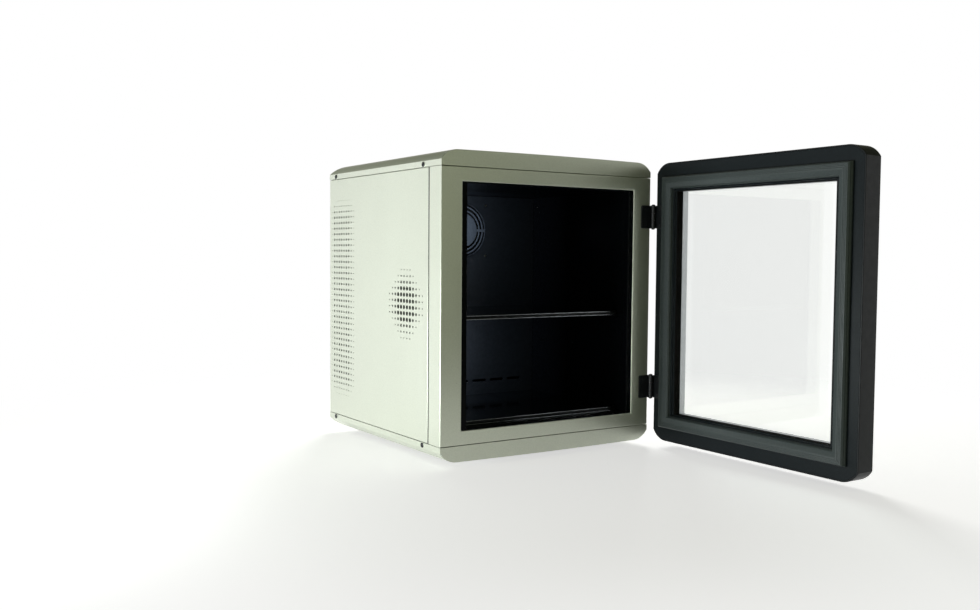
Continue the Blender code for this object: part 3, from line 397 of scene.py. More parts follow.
# The rear wall's panel, of the same stock with a wider soft gloss; its lighter, bluer tone than the liner's
# is painted light, a soft glow on the rear wall.
DUCT = grained("blue_black_polystyrene", ("#13161A", "#1A1E22"), 6 * MM, (0.29, 0.36), 0.02 * MM,
               {"Specular IOR Level": 0.25})
# ABS of the fan grille: graphite with a soft gloss, the lightest thing on the rear wall.
GRILLE = grained("graphite_abs", ("#333940", "#3C434A"), 3 * MM, (0.29, 0.36), 0.02 * MM,
                 {"Specular IOR Level": 0.25})
# Hard PVC extrusion: black, satin, with faint drawing marks.
TRIM = grained("black_pvc", ("#0A0C0E", "#101317"), 9 * MM, (0.29, 0.36), 0.01 * MM,
               {"Specular IOR Level": 0.12})
# Chromed plastic bead let into the trim: bright, smooth, drawing thin light lines along the shelf's edge.
BRIGHT = grained("chromed_abs", ("#7E8286", "#8E9296"), 12 * MM, (0.12, 0.2), 0.004 * MM, {"Metallic": 1.0})
# Smoked glass: dark, mirror smooth, greyed a little by dust.
SMOKED = grained("smoked_glass", ("#0A0D10", "#0E1215"), 30 * MM, (0.05, 0.12), 0.003 * MM, {})
# ABS, moulded against an eroded tool: black with a fine even grain that breaks up the gloss.
CASING = grained("black_eroded_abs", ("#12171A", "#181D21"), 0.9 * MM, (0.36, 0.46), 0.06 * MM,
                 {"Specular IOR Level": 0.2})
# The same ABS on the inner side of the door, polished and a shade bluer.
FLANGE = grained("slate_abs", ("#1A2125", "#20282C"), 2.0 * MM, (0.3, 0.4), 0.02 * MM,
                 {"Specular IOR Level": 0.12})
# Soft PVC of the door gasket: slate grey, dull, with a sheen at grazing angles.
GASKET = grained("soft_pvc", ("#3C4647", "#455051"), 3.0 * MM, (0.42, 0.55), 0.03 * MM,
                 {"Sheen Weight": 0.1, "Sheen Roughness": 0.5})
# Steel, black electrophoretic paint: satin with a pinhead grain.
BLACK_STEEL = grained("black_painted_steel", ("#101317", "#171B20"), 0.8 * MM, (0.3, 0.42), 0.03 * MM, {})
# Drawn bright steel: fine lines along the pin.
PIN = grained("drawn_steel", ("#6E7072", "#8A8C8E"), 0.5 * MM, (0.29, 0.38), 0.02 * MM, {"Metallic": 1.0},
              (1.0, 1.0, 0.05))
# Moulded rubber: flat black with a chalky bloom.
RUBBER = grained("moulded_rubber", ("#131313", "#1D1D1C"), 1.5 * MM, (0.7, 0.85), 0.08 * MM,
                 {"Specular IOR Level": 0.12})
# Elastomer foam: charcoal, dead matt, full of small pits. The foam is real; its charcoal tone is painted
# shade that darkens what shows through the side panels' holes.
FOAM_WITH_PAINTED_SHADE = grained("elastomer_foam", ("#141414", "#222220"), 2.0 * MM, (0.85, 0.95), 0.4 * MM, {})
# Extruded aluminium: grey with die lines along its length.
ALUMINIUM = grained("extruded_aluminium", ("#A9ACAE", "#C3C6C8"), 0.6 * MM, (0.28, 0.4), 0.03 * MM,
                    {"Metallic": 1.0}, (1.0, 1.0, 0.04))
# Alumina plate: white, matt, faintly speckled.
CERAMIC = grained("alumina_ceramic", ("#DEDEDA", "#EBEBE7"), 0.7 * MM, (0.55, 0.7), 0.02 * MM, {})
# Glass-filled PBT of fans and inlet: black, matt, with flow marks.
PBT = grained("glass_filled_pbt", ("#0C0D0E", "#141618"), 1.2 * MM, (0.42, 0.58), 0.04 * MM, {})


# Surfaces


def grid(points, wrap_rows=False, wrap_cols=False):
    """Patch of four-sided faces over a grid of points, joined end to end where it wraps."""
    rows, cols = points.shape[:2]
    row = np.arange(rows if wrap_rows else rows - 1)[:, None]
    col = np.arange(cols if wrap_cols else cols - 1)[None, :]
    up = (row + 1) % rows
    on = (col + 1) % cols
    faces = np.stack([row * cols + col, row * cols + on, up * cols + on, up * cols + col], -1)
    return points.reshape(-1, 3), [faces.reshape(-1, 4)]


def cap(ring):
    """Patch of one flat face over a ring of points."""
    return ring, [np.arange(len(ring))[None]]


def loft(rings, closed=False):
    """Patches of rings joined one to the next, closed on themselves or capped at both ends."""
    if closed:
        return [grid(rings, True, True)]
    return [grid(rings, False, True), cap(rings[0]), cap(rings[-1])]


def on_plane(flat, axis, level):
    """Points of a plane across an axis, set at a level along it."""
    parts = [flat[..., 0], flat[..., 1]]
    parts.insert(axis, np.broadcast_to(level, flat.shape[:-1]))
    return np.stack(parts, -1)


def fillet(points, radii, steps=4, closed=False):
    """Line through points with an arc at each corner that has a radius.

    The arc touches both legs at the radius over the tangent of half the corner's angle, and its points turn
    evenly from one touching point to the other about the arc's centre."""
    points = np.array(points, float)
    share = np.linspace(0, 1, steps + 1)[:, None]
    line = []
    for i, radius in enumerate(radii):
        inner = closed or 0 < i < len(points) - 1
        if not inner or radius == 0:
            line.append(points[i][None])
            continue
        before = points[i - 1] - points[i]
        after = points[(i + 1) % len(points)] - points[i]
        before = before / np.linalg.norm(before)
        after = after / np.linalg.norm(after)
        half = np.arccos(np.clip(before @ after, -1, 1)) / 2
        middle = before + after
        centre = points[i] + middle / np.linalg.norm(middle) * radius / np.sin(half)
        first = points[i] + before * radius / np.tan(half) - centre
        last = points[i] + after * radius / np.tan(half) - centre
        sweep = np.pi - 2 * half
        turned = np.sin((1 - share) * sweep) * first + np.sin(share * sweep) * last
        line.append(centre + turned / np.sin(sweep))
    return np.concatenate(line)


def quarters(first):
    """Closed rings from the points of their first quarter, mirrored about both axes."""
    back = first[..., ::-1, :]
    return np.concatenate([first, back * (-1, 1), -first, back * (1, -1)], -2)


def round_ring(half, radius, steps=6):
    """Rings of rectangles with round corners: a quarter turn of the radius about each corner's centre."""
    half = np.atleast_2d(half)[:, None]
    radius = np.broadcast_to(radius, len(half))[:, None, None]
    turn = np.linspace(0, np.pi / 2, steps + 1)
    return quarters(half - radius + radius * np.stack([np.cos(turn), np.sin(turn)], -1))


def shoulder_ring(half, inset, steps):
    """Rings of the front outline drawn in by insets: arcs that touch top and bottom, creased at the sides.

    An arc's centre stays put, its radius shrinks by the inset, and it ends at the drawn-in side."""
    inset = np.clip(inset, 0, 0.8 * SHOULDER_RUN)[:, None]
    start = np.arccos((SHOULDER_RUN - inset) / (DOOR_SHOULDER_R - inset))
    turn = start + (np.pi / 2 - start) * np.linspace(0, 1, steps + 1)
    arc = (DOOR_SHOULDER_R - inset)[..., None] * np.stack([np.cos(turn), np.sin(turn)], -1)
    return quarters(half - (SHOULDER_RUN, DOOR_SHOULDER_R) + arc)


def rectangles(low, high, inset, ends=None):
    """Rings of four corners between two corner points, drawn in by insets, or the ends by their own."""
    ends = inset if ends is None else ends
    a = np.stack([low[0] + inset, high[0] - inset, high[0] - inset, low[0] + inset], 1)
    b = np.stack([low[1] + ends, low[1] + ends, high[1] - ends, high[1] - ends], 1)
    return np.stack([a, b], -1)


def lathe(profile, axis, centre, turns=32):
    """Rings of a turned form: each (radius, level) of the profile carried round the axis."""
    profile = np.array(profile)
    turn = 2 * np.pi * np.arange(turns) / turns
    circle = np.stack([np.cos(turn), np.sin(turn)], -1)
    flat = np.delete(centre, axis) + profile[:, :1, None] * circle
    return on_plane(flat, axis, centre[axis] + profile[:, 1:])


def carried(path, inward, section, base):
    """Rings of a section of (inward, height) points carried along a level path, from a base height."""
    flat = path[:, None] + inward[:, None] * section[None, :, :1]
    return on_plane(flat, 2, base + section[:, 1])


def perforated(across, up, radius, turns, shift=None):
    """Flat sheet on the cells between two sets of lines, with a hole in each cell that has a radius.

    A cell's border is a circle of so many turns pushed out to a square and stretched to the cell. Its hole
    is the same circle times the radius, its quarters moved apart by the shift. Faces join the two."""
    turn = 2 * np.pi * np.arange(turns) / turns
    unit = np.round(np.stack([np.cos(turn), np.sin(turn)], -1), 12)
    square = unit / np.abs(unit).max(-1, keepdims=True)
    middle = np.meshgrid((across[1:] + across[:-1]) / 2, (up[1:] + up[:-1]) / 2, indexing="ij")
    half = np.meshgrid(np.diff(across) / 2, np.diff(up) / 2, indexing="ij")
    middle = np.stack(middle, -1)[:, :, None]
    border = middle + np.stack(half, -1)[:, :, None] * square
    hole = middle + radius[..., None, None] * unit
    if shift is not None:
        hole = hole + shift[:, :, None] * np.sign(unit)
    points = np.stack([border, hole], 2).reshape(-1, 2)
    start = 2 * turns * np.arange(radius.size)[:, None]
    step = np.arange(turns)
    on = (step + 1) % turns
    ring = np.stack([start + step, start + on, start + turns + on, start + turns + step], -1)
    opened = radius.ravel() > 0
    return points, [ring[opened].reshape(-1, 4), (start + step)[~opened]]


def slotted(ends, across, up, radius, stretch=(0.0, 0.0), turns=HOLE_TURNS):
    """Perforated sheet from end to end, with a slot in each cell between the lines across it.

    A slot is a circle of the radius with its quarters moved apart by the stretch."""
    lines = np.concatenate([ends[:1], across, ends[1:]])
    size = np.zeros((len(lines) - 1, len(up) - 1))
    size[1:-1] = radius
    shift = np.zeros((*size.shape, 2))
    shift[1:-1] = stretch
    return perforated(lines, up, size, turns, shift)


def even(count, step):
    """Evenly spaced lines, one more than the count of cells between them, about nought."""
    return step * (np.arange(count + 1) - count / 2)


def strip(lower, upper):
    """Plain face between two sheets one above the other, along all their border points."""
    low = lower[lower[:, 1] > lower[:, 1].max() - WELD]
    high = upper[upper[:, 1] < upper[:, 1].min() + WELD]
    ring = np.concatenate([low[np.argsort(low[:, 0])], high[np.argsort(-high[:, 0])]])
    ring = ring[np.append(True, np.abs(np.diff(ring, axis=0)).max(1) > WELD)]
    return ring, [np.arange(len(ring))[None]]


def folded_rim(points, profile):
    """Rim rings round a flat sheet: its border in order of angle, moved outward along a profile."""
    low, high = points.min(0), points.max(0)
    edge = points[((points - low < WELD) | (high - points < WELD)).any(1)]
    edge = np.unique(np.round(edge, 7), axis=0)
    from_middle = edge - (low + high) / 2
    edge = edge[np.argsort(np.arctan2(from_middle[:, 1], from_middle[:, 0]))]
    outward = (high - edge < WELD).astype(float) - (edge - low < WELD)
    return edge + profile[:, :1, None] * outward


def bend_profile(depth):
    """Folded edge of a sheet as (outward, depth): a quarter turn of the bend and a straight flange."""
    turn = np.linspace(0, np.pi / 2, 5)
    arc = BEND * np.stack([np.sin(turn), 1 - np.cos(turn)], -1)
    return np.vstack([arc, (BEND, depth)])


# Pieces


def shape(name, patches, wall=0.0, edge=0.0, away=None, sharp=SHARP):
    """Object from patches welded where they meet, facing away from a point or out of its own volume.

    A wall gives a sheet its thickness on the back, and an edge rounds its sharp corners by that width."""
    points = np.concatenate([patch[0] for patch in patches])
    start = np.cumsum([0] + [len(patch[0]) for patch in patches])
    faces = []
    for base, patch in zip(start, patches):
        for group in patch[1]:
            faces += (group + base).tolist()
    mesh = bpy.data.meshes.new(name)
    mesh.from_pydata(points.tolist(), [], faces)
    work = bmesh.new()
    work.from_mesh(mesh)
    bmesh.ops.remove_doubles(work, verts=work.verts, dist=WELD)
    bmesh.ops.dissolve_degenerate(work, edges=work.edges, dist=WELD)
    bmesh.ops.delete(work, geom=[vert for vert in work.verts if not vert.link_faces], context="VERTS")
    bmesh.ops.recalc_face_normals(work, faces=work.faces)
    if away is not None:
        centre = np.array([face.calc_center_median() for face in work.faces])
        normal = np.array([face.normal * face.calc_area() for face in work.faces])
        if ((centre - np.array(away)) * normal).sum() < 0:
            bmesh.ops.reverse_faces(work, faces=work.faces)
    work.to_mesh(mesh)
    work.free()
    obj = bpy.data.objects.new(name, mesh)
    bpy.context.scene.collection.objects.link(obj)
    if edge:
        step = obj.modifiers.new("edge", "BEVEL")
        step.width = edge
        step.segments = EDGE_SEGMENTS
        step.limit_method = "ANGLE"
        step.angle_limit = math.radians(EDGE_ANGLE)
    if wall:
        step = obj.modifiers.new("wall", "SOLIDIFY")
        step.thickness = wall
        step.offset = -1.0
        step.use_even_offset = True
    bake(obj, sharp)
    return obj


def bake(obj, sharp=SHARP):
    """Apply an object's modifiers and shade it smooth up to an angle, flat faces kept flat."""
    graph = bpy.context.evaluated_depsgraph_get()
    obj.data = bpy.data.meshes.new_from_object(obj.evaluated_get(graph))
    obj.modifiers.clear()
    obj.data.shade_smooth()
    obj.data.set_sharp_from_angle(angle=math.radians(sharp))
    obj.modifiers.new("flat", "WEIGHTED_NORMAL").keep_sharp = True


def fuse(objs, name):
    """One object from several solids by union."""
    first = objs[0]
    first.name = name
    for other in objs[1:]:
        step = first.modifiers.new("union", "BOOLEAN")
        step.operation = "UNION"
        step.object = other
    first.modifiers.move(0, len(first.modifiers) - 1)
    bake(first)
    for other in objs[1:]:
        bpy.data.objects.remove(other)
    return first


def dress(obj, finish, body, slot, *nodes):
    """Give a piece its finish and the body that it rides on, and hide the nodes that it stands for. The
    slot is not used.
    """
    obj.data.materials.clear()
    obj.data.materials.append(finish)
    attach(obj, body)
    if nodes:
        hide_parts(*nodes)


def make_covers():
    """Covers as height fields: the lower of a profile across and one towards the rear, over straight lips.

    Columns run from lip to lip and rows from front to rear, both with points at even angles of the shoulder
    arcs. A slight crown, a cosine across, lifts the top. The front wall goes from seam to front row."""
    turn = np.linspace(np.arccos(SHOULDER_RUN / SHOULDER_R), np.pi / 2, SHOULDER_STEPS + 1)
    inward = SHOULDER_RUN - SHOULDER_R * np.cos(turn)
    drop = SHOULDER_R * (1 - np.sin(turn))
    seam, top = TOP_LOW[2] + SEAM_SHOW, TOP_HIGH[2]
    lip = seam + (top - drop[0] - seam) * np.linspace(0, 1, LIP_STEPS + 1)[:-1]
    half = (TOP_HIGH[0] - TOP_LOW[0]) / 2
    flat = np.linspace(0, half - SHOULDER_RUN, FLAT_STEPS + 1)[:-1]
    away = np.concatenate([np.full(LIP_STEPS, half), half - inward, flat[::-1]])
    rise = np.concatenate([lip, top - drop, np.full(len(flat), top)])
    x = np.concatenate([-away, away[-2::-1]])
    z = np.concatenate([rise, rise[-2::-1]])
    straight = np.linspace(TOP_LOW[1], TOP_HIGH[1] - SHOULDER_RUN, DEPTH_STEPS + 1)
    y = np.concatenate([straight, TOP_HIGH[1] - inward[-2::-1], np.full(LIP_STEPS, TOP_HIGH[1])])
    limit = np.concatenate([np.full(len(straight), 2 * top), top - drop[-2::-1], lip[::-1]])
    fade = np.clip((straight[-1] - y) / (straight[-1] - straight[0]), 0, 1) ** CROWN_FADE
    crown = CROWN * np.cos(np.clip(x / (half - SHOULDER_RUN), -1, 1) * np.pi / 2) * fade[:, None]
    height = np.minimum(z + crown, limit[:, None])
    field = np.stack(np.broadcast_arrays(MID[0] + x, y[:, None], height), -1)
    edge = field[0, LIP_STEPS:-LIP_STEPS]
    share = np.linspace(0, 1, LIP_STEPS + 1)[:, None]
    wall = np.stack(np.broadcast_arrays(edge[:, 0], TOP_LOW[1], seam + share * (edge[:, 2] - seam)), -1)
    for name, sign, base in (("top_cover", 1, 0.0), ("bottom_cover", -1, LEVEL_SUM)):
        turned = (1, 1, sign)
        patches = [grid(part * turned + (0, 0, base)) for part in (field, wall)]
        inside = (MID[0], MID[1], base + sign * (seam - SHOULDER_R))
        shell = shape(name + "_shell", patches, COVER_WALL, COVER_EDGE, inside, sharp=20.0)
        dress(shell, PAINT, "cabinet", "white_shell", name)


def make_front_frame():
    """Front frame: rectangles carried from the outer wall over a round edge, across the face and in."""
    rear, front = FRONT_HIGH[1], FRONT_LOW[1]
    outer = fillet([(0, rear), (0, front), (2 * FRAME_EDGE, front)], [0, FRAME_EDGE, 0])[:-1]
    inner = outer[::-1]
    low, high = LINER_LOW[::2] - GAP, LINER_HIGH[::2] + GAP
    flat = [rectangles(FRONT_LOW[::2], FRONT_HIGH[::2], outer[:, 0]), rectangles(low, high, -inner[:, 0])]
    rings = on_plane(np.concatenate(flat), 1, np.concatenate([outer, inner])[:, 1:])
    channel = shape("front_frame_channel", [grid(rings, False, True)], FRAME_WALL)
    dress(channel, PAINT, "cabinet", "frame_coat", "front_frame")


def make_groove_shade_bars():
    """Dark bars in the grooves behind the front frame, painted shade that makes the grooves read black:
    bars of rectangular plan carried from seam to seam.
    """
    span = np.array([FRONT_HIGH[1] + SHADE_BAR_SET, corners("left_side_panel")[0][1] - SHADE_BAR_SET])
    ends = np.array([[FRONT_LOW[2]], [FRONT_HIGH[2]]])
    for side, x, sign in (("left", FRONT_LOW[0], 1), ("right", FRONT_HIGH[0], -1)):
        across = np.sort(x + sign * np.array([SHADE_BAR_SET, SHADE_BAR_SET + SHADE_BAR_T]))
        low, high = np.stack([across, span], 1)
        plan = rectangles(low, high, np.zeros(2))
        # A black bar where the groove holds only shade: painted shade.
        seal = shape(side + "_groove_seal", loft(on_plane(plan, 2, ends)))
        dress(seal, RUBBER, "cabinet", "gasket_rubber")


def vent_sizes(y_lines, z_lines):
    """Hole diameters of a side panel by cell: a round vent and a band, each fading out towards its rim.

    In the round vent, distance is an octagon's in pitches: both ways added, or the longer way and one and a
    half. In the band, a hole has its column's size, less in the last three rows and none at the corners."""
    depth = (y_lines[1:] + y_lines[:-1]) / 2 - FRONT_LOW[1]
    rise = (z_lines[1:] + z_lines[:-1]) / 2 - MID[2]
    a = np.abs(depth - ROUND_DEPTH)[:, None] / PITCH
    b = np.abs(rise)[None] / PITCH
    far = np.maximum(a + b, np.maximum(a, b) + OCTAGON)
    size = np.zeros(far.shape)
    for limit, diameter in ROUND_HOLES[::-1]:
        size[far < limit + 0.5] = diameter
    columns = len(BAND_COLUMNS)
    column = np.round((depth - BAND_DEPTH) / PITCH + (columns - 1) / 2).astype(int)
    near = (column >= 0) & (column < columns) & (np.abs(np.diff(y_lines) - PITCH) < WELD)
    near &= depth > 2 * ROUND_DEPTH
    from_end = BAND_HALF_ROWS - 0.5 - b[0]
    fade = np.interp(from_end, (0, 1, 2, 3), (*BAND_FADE, 1.0), left=0.0)
    band = np.where(near, BAND_COLUMNS[np.clip(column, 0, columns - 1)], 0.0)
    inner = np.minimum(column, columns - 1 - column)[:, None] + from_end > 1.5
    return size + band[:, None] * fade * inner


def make_side_panels():
    """Side panels: perforated sheets with their edges folded in by the bend profile."""
    low, high = corners("left_side_panel")
    z_low, z_high = FRONT_LOW[2], FRONT_HIGH[2]
    step = PITCH * np.arange(-BAND_HALF_ROWS, BAND_HALF_ROWS + 1)
    band = len(BAND_COLUMNS) // 2
    round_lines = FRONT_LOW[1] + ROUND_DEPTH + PITCH * np.arange(-ROUND_HALF, ROUND_HALF + 1)
    band_lines = FRONT_LOW[1] + BAND_DEPTH + PITCH * np.arange(-band, band + 1)
    y_lines = np.concatenate([[low[1] + BEND], round_lines, band_lines, [high[1] - BEND]])
    z_lines = np.concatenate([[z_low + BEND], MID[2] + step, [z_high - BEND]])
    flat, faces = perforated(y_lines, z_lines, vent_sizes(y_lines, z_lines) / 2, HOLE_TURNS)
    profile = bend_profile(FLANGE_IN)
    rim = folded_rim(flat, profile)
    for name, x, sign in (("left_side_panel", FRONT_LOW[0], 1), ("right_side_panel", FRONT_HIGH[0], -1)):
        sheet = (on_plane(flat, 0, x), faces)
        fold = grid(on_plane(rim, 0, x + sign * profile[:, 1:]), False, True)
        panel = shape(name + "_sheet", [sheet, fold], SHEET, 0.0, (x + sign * BEHIND, MID[1], MID[2]))
        dress(panel, PAINT, "cabinet", "white_coat", name)


def folded_panel(name, low, high, sheets, y, flange, wall):
    """Upright panel: sheets one above another, plain strips between them, and edges folded by the flange.

    A flange above nought folds the edges towards the rear, and one below nought towards the front."""
    borders = [np.array([(low[0], level), (high[0], level)]) for level in (low[1], high[1])]
    lines = [borders[0], *(sheet[0] for sheet in sheets), borders[1]]
    sheets = sheets + [strip(one, two) for one, two in zip(lines, lines[1:])]
    side = np.sign(flange)
    profile = bend_profile(abs(flange))
    rim = folded_rim(np.concatenate([sheet[0] for sheet in sheets]), profile)
    patches = [(on_plane(flat, 1, y), faces) for flat, faces in sheets]
    patches.append(grid(on_plane(rim, 1, y + side * profile[:, 1:]), False, True))
    return shape(name, patches, wall, 0.0, (MID[0], y + side * BEHIND, MID[2]))


def make_rear_panel():
    """Rear panel: three slotted sheets, for inlet, intake and exhaust, with plain strips between them."""
    low, high = REAR_LOW[::2] + BEND, REAR_HIGH[::2] - BEND
    ends = (low[0], high[0])
    inlet_low, inlet_high = corners("mains_inlet")
    centre = (inlet_low + inlet_high)[::2] / 2
    half = (inlet_high - inlet_low)[::2] / 2 - INLET_FLANGE + GAP
    sides = centre + np.array([[-1], [1]]) * (half + INLET_MARGIN)
    inlet = slotted(ends, sides[:, 0], sides[:, 1], INLET_CORNER, half - INLET_CORNER)

    base = REAR_LOW[2] + INTAKE_LIFT
    up = np.array([base - INTAKE_MARGIN, base + INTAKE_H + INTAKE_MARGIN])
    across = MID[0] + even(INTAKE_SLOTS, INTAKE_STEP)
    intake = slotted(ends, across, up, INTAKE_R, (0.0, INTAKE_H / 2 - INTAKE_R))

    reach = EXHAUST_REACH + EXHAUST_MARGIN
    lift = even(EXHAUST_SLOTS, EXHAUST_STEP)
    middle = (lift[1:] + lift[:-1]) / 2
    half = np.sqrt(EXHAUST_REACH ** 2 - middle ** 2) - EXHAUST_SLOT_R
    stretch = np.stack([half, np.zeros(EXHAUST_SLOTS)], -1)
    exhaust = slotted(ends, (MID[0] - reach, MID[0] + reach), FAN_AXIS[2] + lift, EXHAUST_SLOT_R, stretch)

    sheets = [inlet, intake, exhaust]
    panel = folded_panel("rear_panel_sheet", low, high, sheets, REAR_HIGH[1], -FLANGE_IN / 2, SHEET)
    dress(panel, PAINT, "cabinet", "white_coat", "rear_panel")


def make_liner():
    """Inner liner: rounded rectangles carried over the rim's edge, along the walls and to the port."""
    middle = (LINER_LOW + LINER_HIGH)[::2] / 2
    rim_half = (LINER_HIGH - LINER_LOW)[::2] / 2
    clear = rim_half - (RIM, LINER_WALL)
    rear = LINER_HIGH[1] - LINER_WALL
    front = LINER_LOW[1]
    share = np.linspace(0, np.pi / 2, 6)
    edge_in = LINER_EDGE * (1 - np.sin(share))
    edge_back = front + LINER_EDGE * (1 - np.cos(share))
    half = [rim_half, *(clear + edge_in[:, None]), *(clear - LINER_CORNER * (1 - np.cos(share))[:, None])]
    level = [front, *edge_back, *(rear - LINER_CORNER * (1 - np.sin(share))), rear]
    corner = np.full(len(half), LINER_CORNER)
    corner[0] = LINER_EDGE
    rings = middle + round_ring(np.array(half), corner)
    hole = np.array([MID[0], FAN_AXIS[2]]) + round_ring(np.array([PORT, PORT]), LINER_CORNER)
    rings = on_plane(np.concatenate([rings, hole]), 1, np.array(level)[:, None])
    towards = (MID[0], (front + rear) / 2, MID[2])
    box = shape("liner_shell", [grid(rings, False, True)], 0.0, 0.0, towards)
    box.data.flip_normals()
    step = box.modifiers.new("wall", "SOLIDIFY")
    step.thickness = LINER_WALL - GAP
    step.offset = -1.0
    bake(box)
    dress(box, LINER, "cabinet", "black_liner", "inner_liner")
    trim_low = corners("upper_shelf_trim")[0]
    top = trim_low[2] - GAP
    base = top - LEDGE_H
    ends = np.array([[trim_low[1] + LEDGE_SET], [DUCT_LOW[1] - GAP]])
    outline = [(-GAP, top), (LEDGE_W, top), (LEDGE_W, base), (-GAP, base)]
    section = fillet(outline, [0, *LEDGE_ROUND, 0])
    for name, wall, sign in (("left", middle[0] - clear[0], 1), ("right", middle[0] + clear[0], -1)):
        placed = section * (sign, 1) + (wall, 0)
        rings = on_plane(np.stack([placed, placed]), 1, ends)
        ledge = shape(f"shelf_ledge_{name}", loft(rings), 0.0, LEDGE_EDGE)
        dress(ledge, LINER, "cabinet", "black_liner")


def make_duct_cover():
    """Rear duct cover: a sheet with a row of return slots, a sheet round the grille and plain strips."""
    low, high = DUCT_LOW[::2] + BEND, DUCT_HIGH[::2] - BEND
    ends = (low[0], high[0])
    base = DUCT_LOW[2] + RETURN_LIFT
    up = np.array([base - RETURN_MARGIN, base + 2 * RETURN_R + RETURN_MARGIN])
    across = MID[0] + even(RETURN_SLOTS, RETURN_STEP)
    slots = slotted(ends, across, up, RETURN_R, (RETURN_HALF - RETURN_R, 0.0))
    reach = even(1, 2 * (GRILLE_R + GRILLE_MARGIN))
    opening = slotted(ends, MID[0] + reach, FAN_AXIS[2] + reach, GRILLE_R, turns=GRILLE_TURNS)
    y = DUCT_LOW[1]
    plate = folded_panel("duct_cover_plate", low, high, [slots, opening], y, DUCT_HIGH[1] - y, DUCT_WALL)
    dress(plate, DUCT, "cabinet", "black_liner", "rear_duct_cover")


def make_grille():
    """Fan grille: ribs turned round the fan's axis, a dished hub and four spokes, fused into one guard."""
    centre = np.array([FAN_AXIS[0], DUCT_LOW[1], FAN_AXIS[2]])
    parts = []
    for radius in (*GRILLE_RIBS, GRILLE_R + GRILLE_RIB_W / 2 - GAP):
        near, far = radius - GRILLE_RIB_W / 2, radius + GRILLE_RIB_W / 2
        outline = [(near, 0), (far, 0), (far, GRILLE_T), (near, GRILLE_T)]
        section = fillet(outline, [GRILLE_RIB_ROUND, GRILLE_RIB_ROUND, 0, 0], 3, True)
        parts.append(shape("grille_rib", loft(lathe(section, 1, centre, GRILLE_TURNS), True)))
    turn = np.linspace(0, np.pi / 2, 7)
    dish = np.stack([GRILLE_HUB * np.sin(turn), -HUB_DISH * np.cos(turn)], -1)
    hub = np.vstack([dish[1:], (GRILLE_HUB, GRILLE_T), (HUB_BORE, GRILLE_T)])
    parts.append(shape("grille_hub", loft(lathe(hub, 1, centre, GRILLE_TURNS))))
    reach = np.array([GRILLE_R + SPOKE_OVER, GRILLE_SPOKE / 2])
    for half in (reach, reach[::-1]):
        rings = round_ring(np.array([half - SPOKE_EDGE, half, half]), SPOKE_CORNER)
        rings = on_plane(rings + centre[::2], 1, centre[1] + SPOKE_LEVELS[:, None])
        parts.append(shape("grille_spoke", loft(rings)))
    guard = fuse(parts, "fan_grille")
    dress(guard, GRILLE, "cabinet", "black_liner")


def make_shelf(name):
    """Shelf: a pane with a polished edge in an angle trim carried round its front and both corners."""
    low, high = corners(name + "_trim")
    middle = (low[0] + high[0]) / 2
    half = (high[0] - low[0]) / 2
    turn = np.linspace(0, np.pi / 2, 9)
    normal = np.stack([np.cos(turn), np.sin(turn)], -1)
    corner = (-half + SHELF_CORNER, low[1] + SHELF_CORNER) - SHELF_CORNER * normal
    left = np.vstack([(-half, high[1]), corner])
    inward = np.vstack([(1, 0), normal])
    path = np.vstack([left, left[::-1] * (-1, 1)]) + (middle, 0)
    inward = np.vstack([inward, inward[::-1] * (-1, 1)])
    height = high[2] - low[2]
    outline = [(0, 0), (0, height), (TRIM_WALL, height), (TRIM_WALL, TRIM_LIP), (TRIM_REACH, TRIM_LIP),
               (TRIM_REACH, 0)]
    section = fillet(outline, [TRIM_EDGE, TRIM_EDGE, TRIM_BACK_EDGE, 0, 0, 0], 4, True)
    trim = shape(name + "_edge_trim", loft(carried(path, inward, section, low[2])))
    dress(trim, TRIM, name, "black_trim", name + "_trim")
    turn = 2 * np.pi * np.arange(BEAD_TURNS) / BEAD_TURNS
    section = BEAD_R * np.stack([1 - np.cos(turn), np.sin(turn)], -1) - (BEAD_OUT, 0)
    for tag, level in (("upper", high[2] - BEAD_SET), ("lower", low[2] + BEAD_SET)):
        bead = shape(f"{name}_{tag}_bead", loft(carried(path, inward, section, level)), sharp=40.0)
        dress(bead, BRIGHT, name, "black_trim")

    low, high = corners(name + "_pane")
    centre = (low + high) / 2
    half = (high - low)[:2] / 2
    outline = [(PANE_RIM, low[2]), (0, low[2]), (0, high[2]), (PANE_RIM, high[2])]
    inset = fillet(outline, [0, PANE_EDGE, PANE_EDGE, 0], 3)
    radius = SHELF_CORNER - TRIM_WALL - GAP - inset[:, 0] / 2
    rings = centre[:2] + round_ring(half - inset[:, :1], radius)
    pane = shape(name + "_glass", loft(on_plane(rings, 2, inset[:, 1:])))
    dress(pane, SMOKED, name, "shelf_glass", name + "_pane")


def end_inset(inset):
    """Inset on the top and bottom rails for an inset on the stiles: the gasket sits further in there."""
    return np.interp(inset, (0, SEAT, SEAT_END, WINDOW), (0, END_SEAT, END_SEAT_END, WINDOW))


def door_rings(profile):
    """Rings of the door for (inset, depth) points: shouldered near the rim, rectangles further in."""
    half = (DOOR_HIGH - DOOR_LOW)[1:] / 2
    inset = profile[:, 0]
    outline = shoulder_ring(half + DOOR_INSET, DOOR_INSET + inset, DOOR_STEPS)
    window = round_ring(half - np.stack([inset, end_inset(inset)], -1), WINDOW_CORNER, DOOR_STEPS)
    flat = np.where((inset < SHOULDER_RUN / 2)[:, None, None], outline, window)
    middle = (DOOR_LOW + DOOR_HIGH)[1:] / 2
    return on_plane(middle + flat, 0, DOOR_LOW[0] + profile[:, 1:])


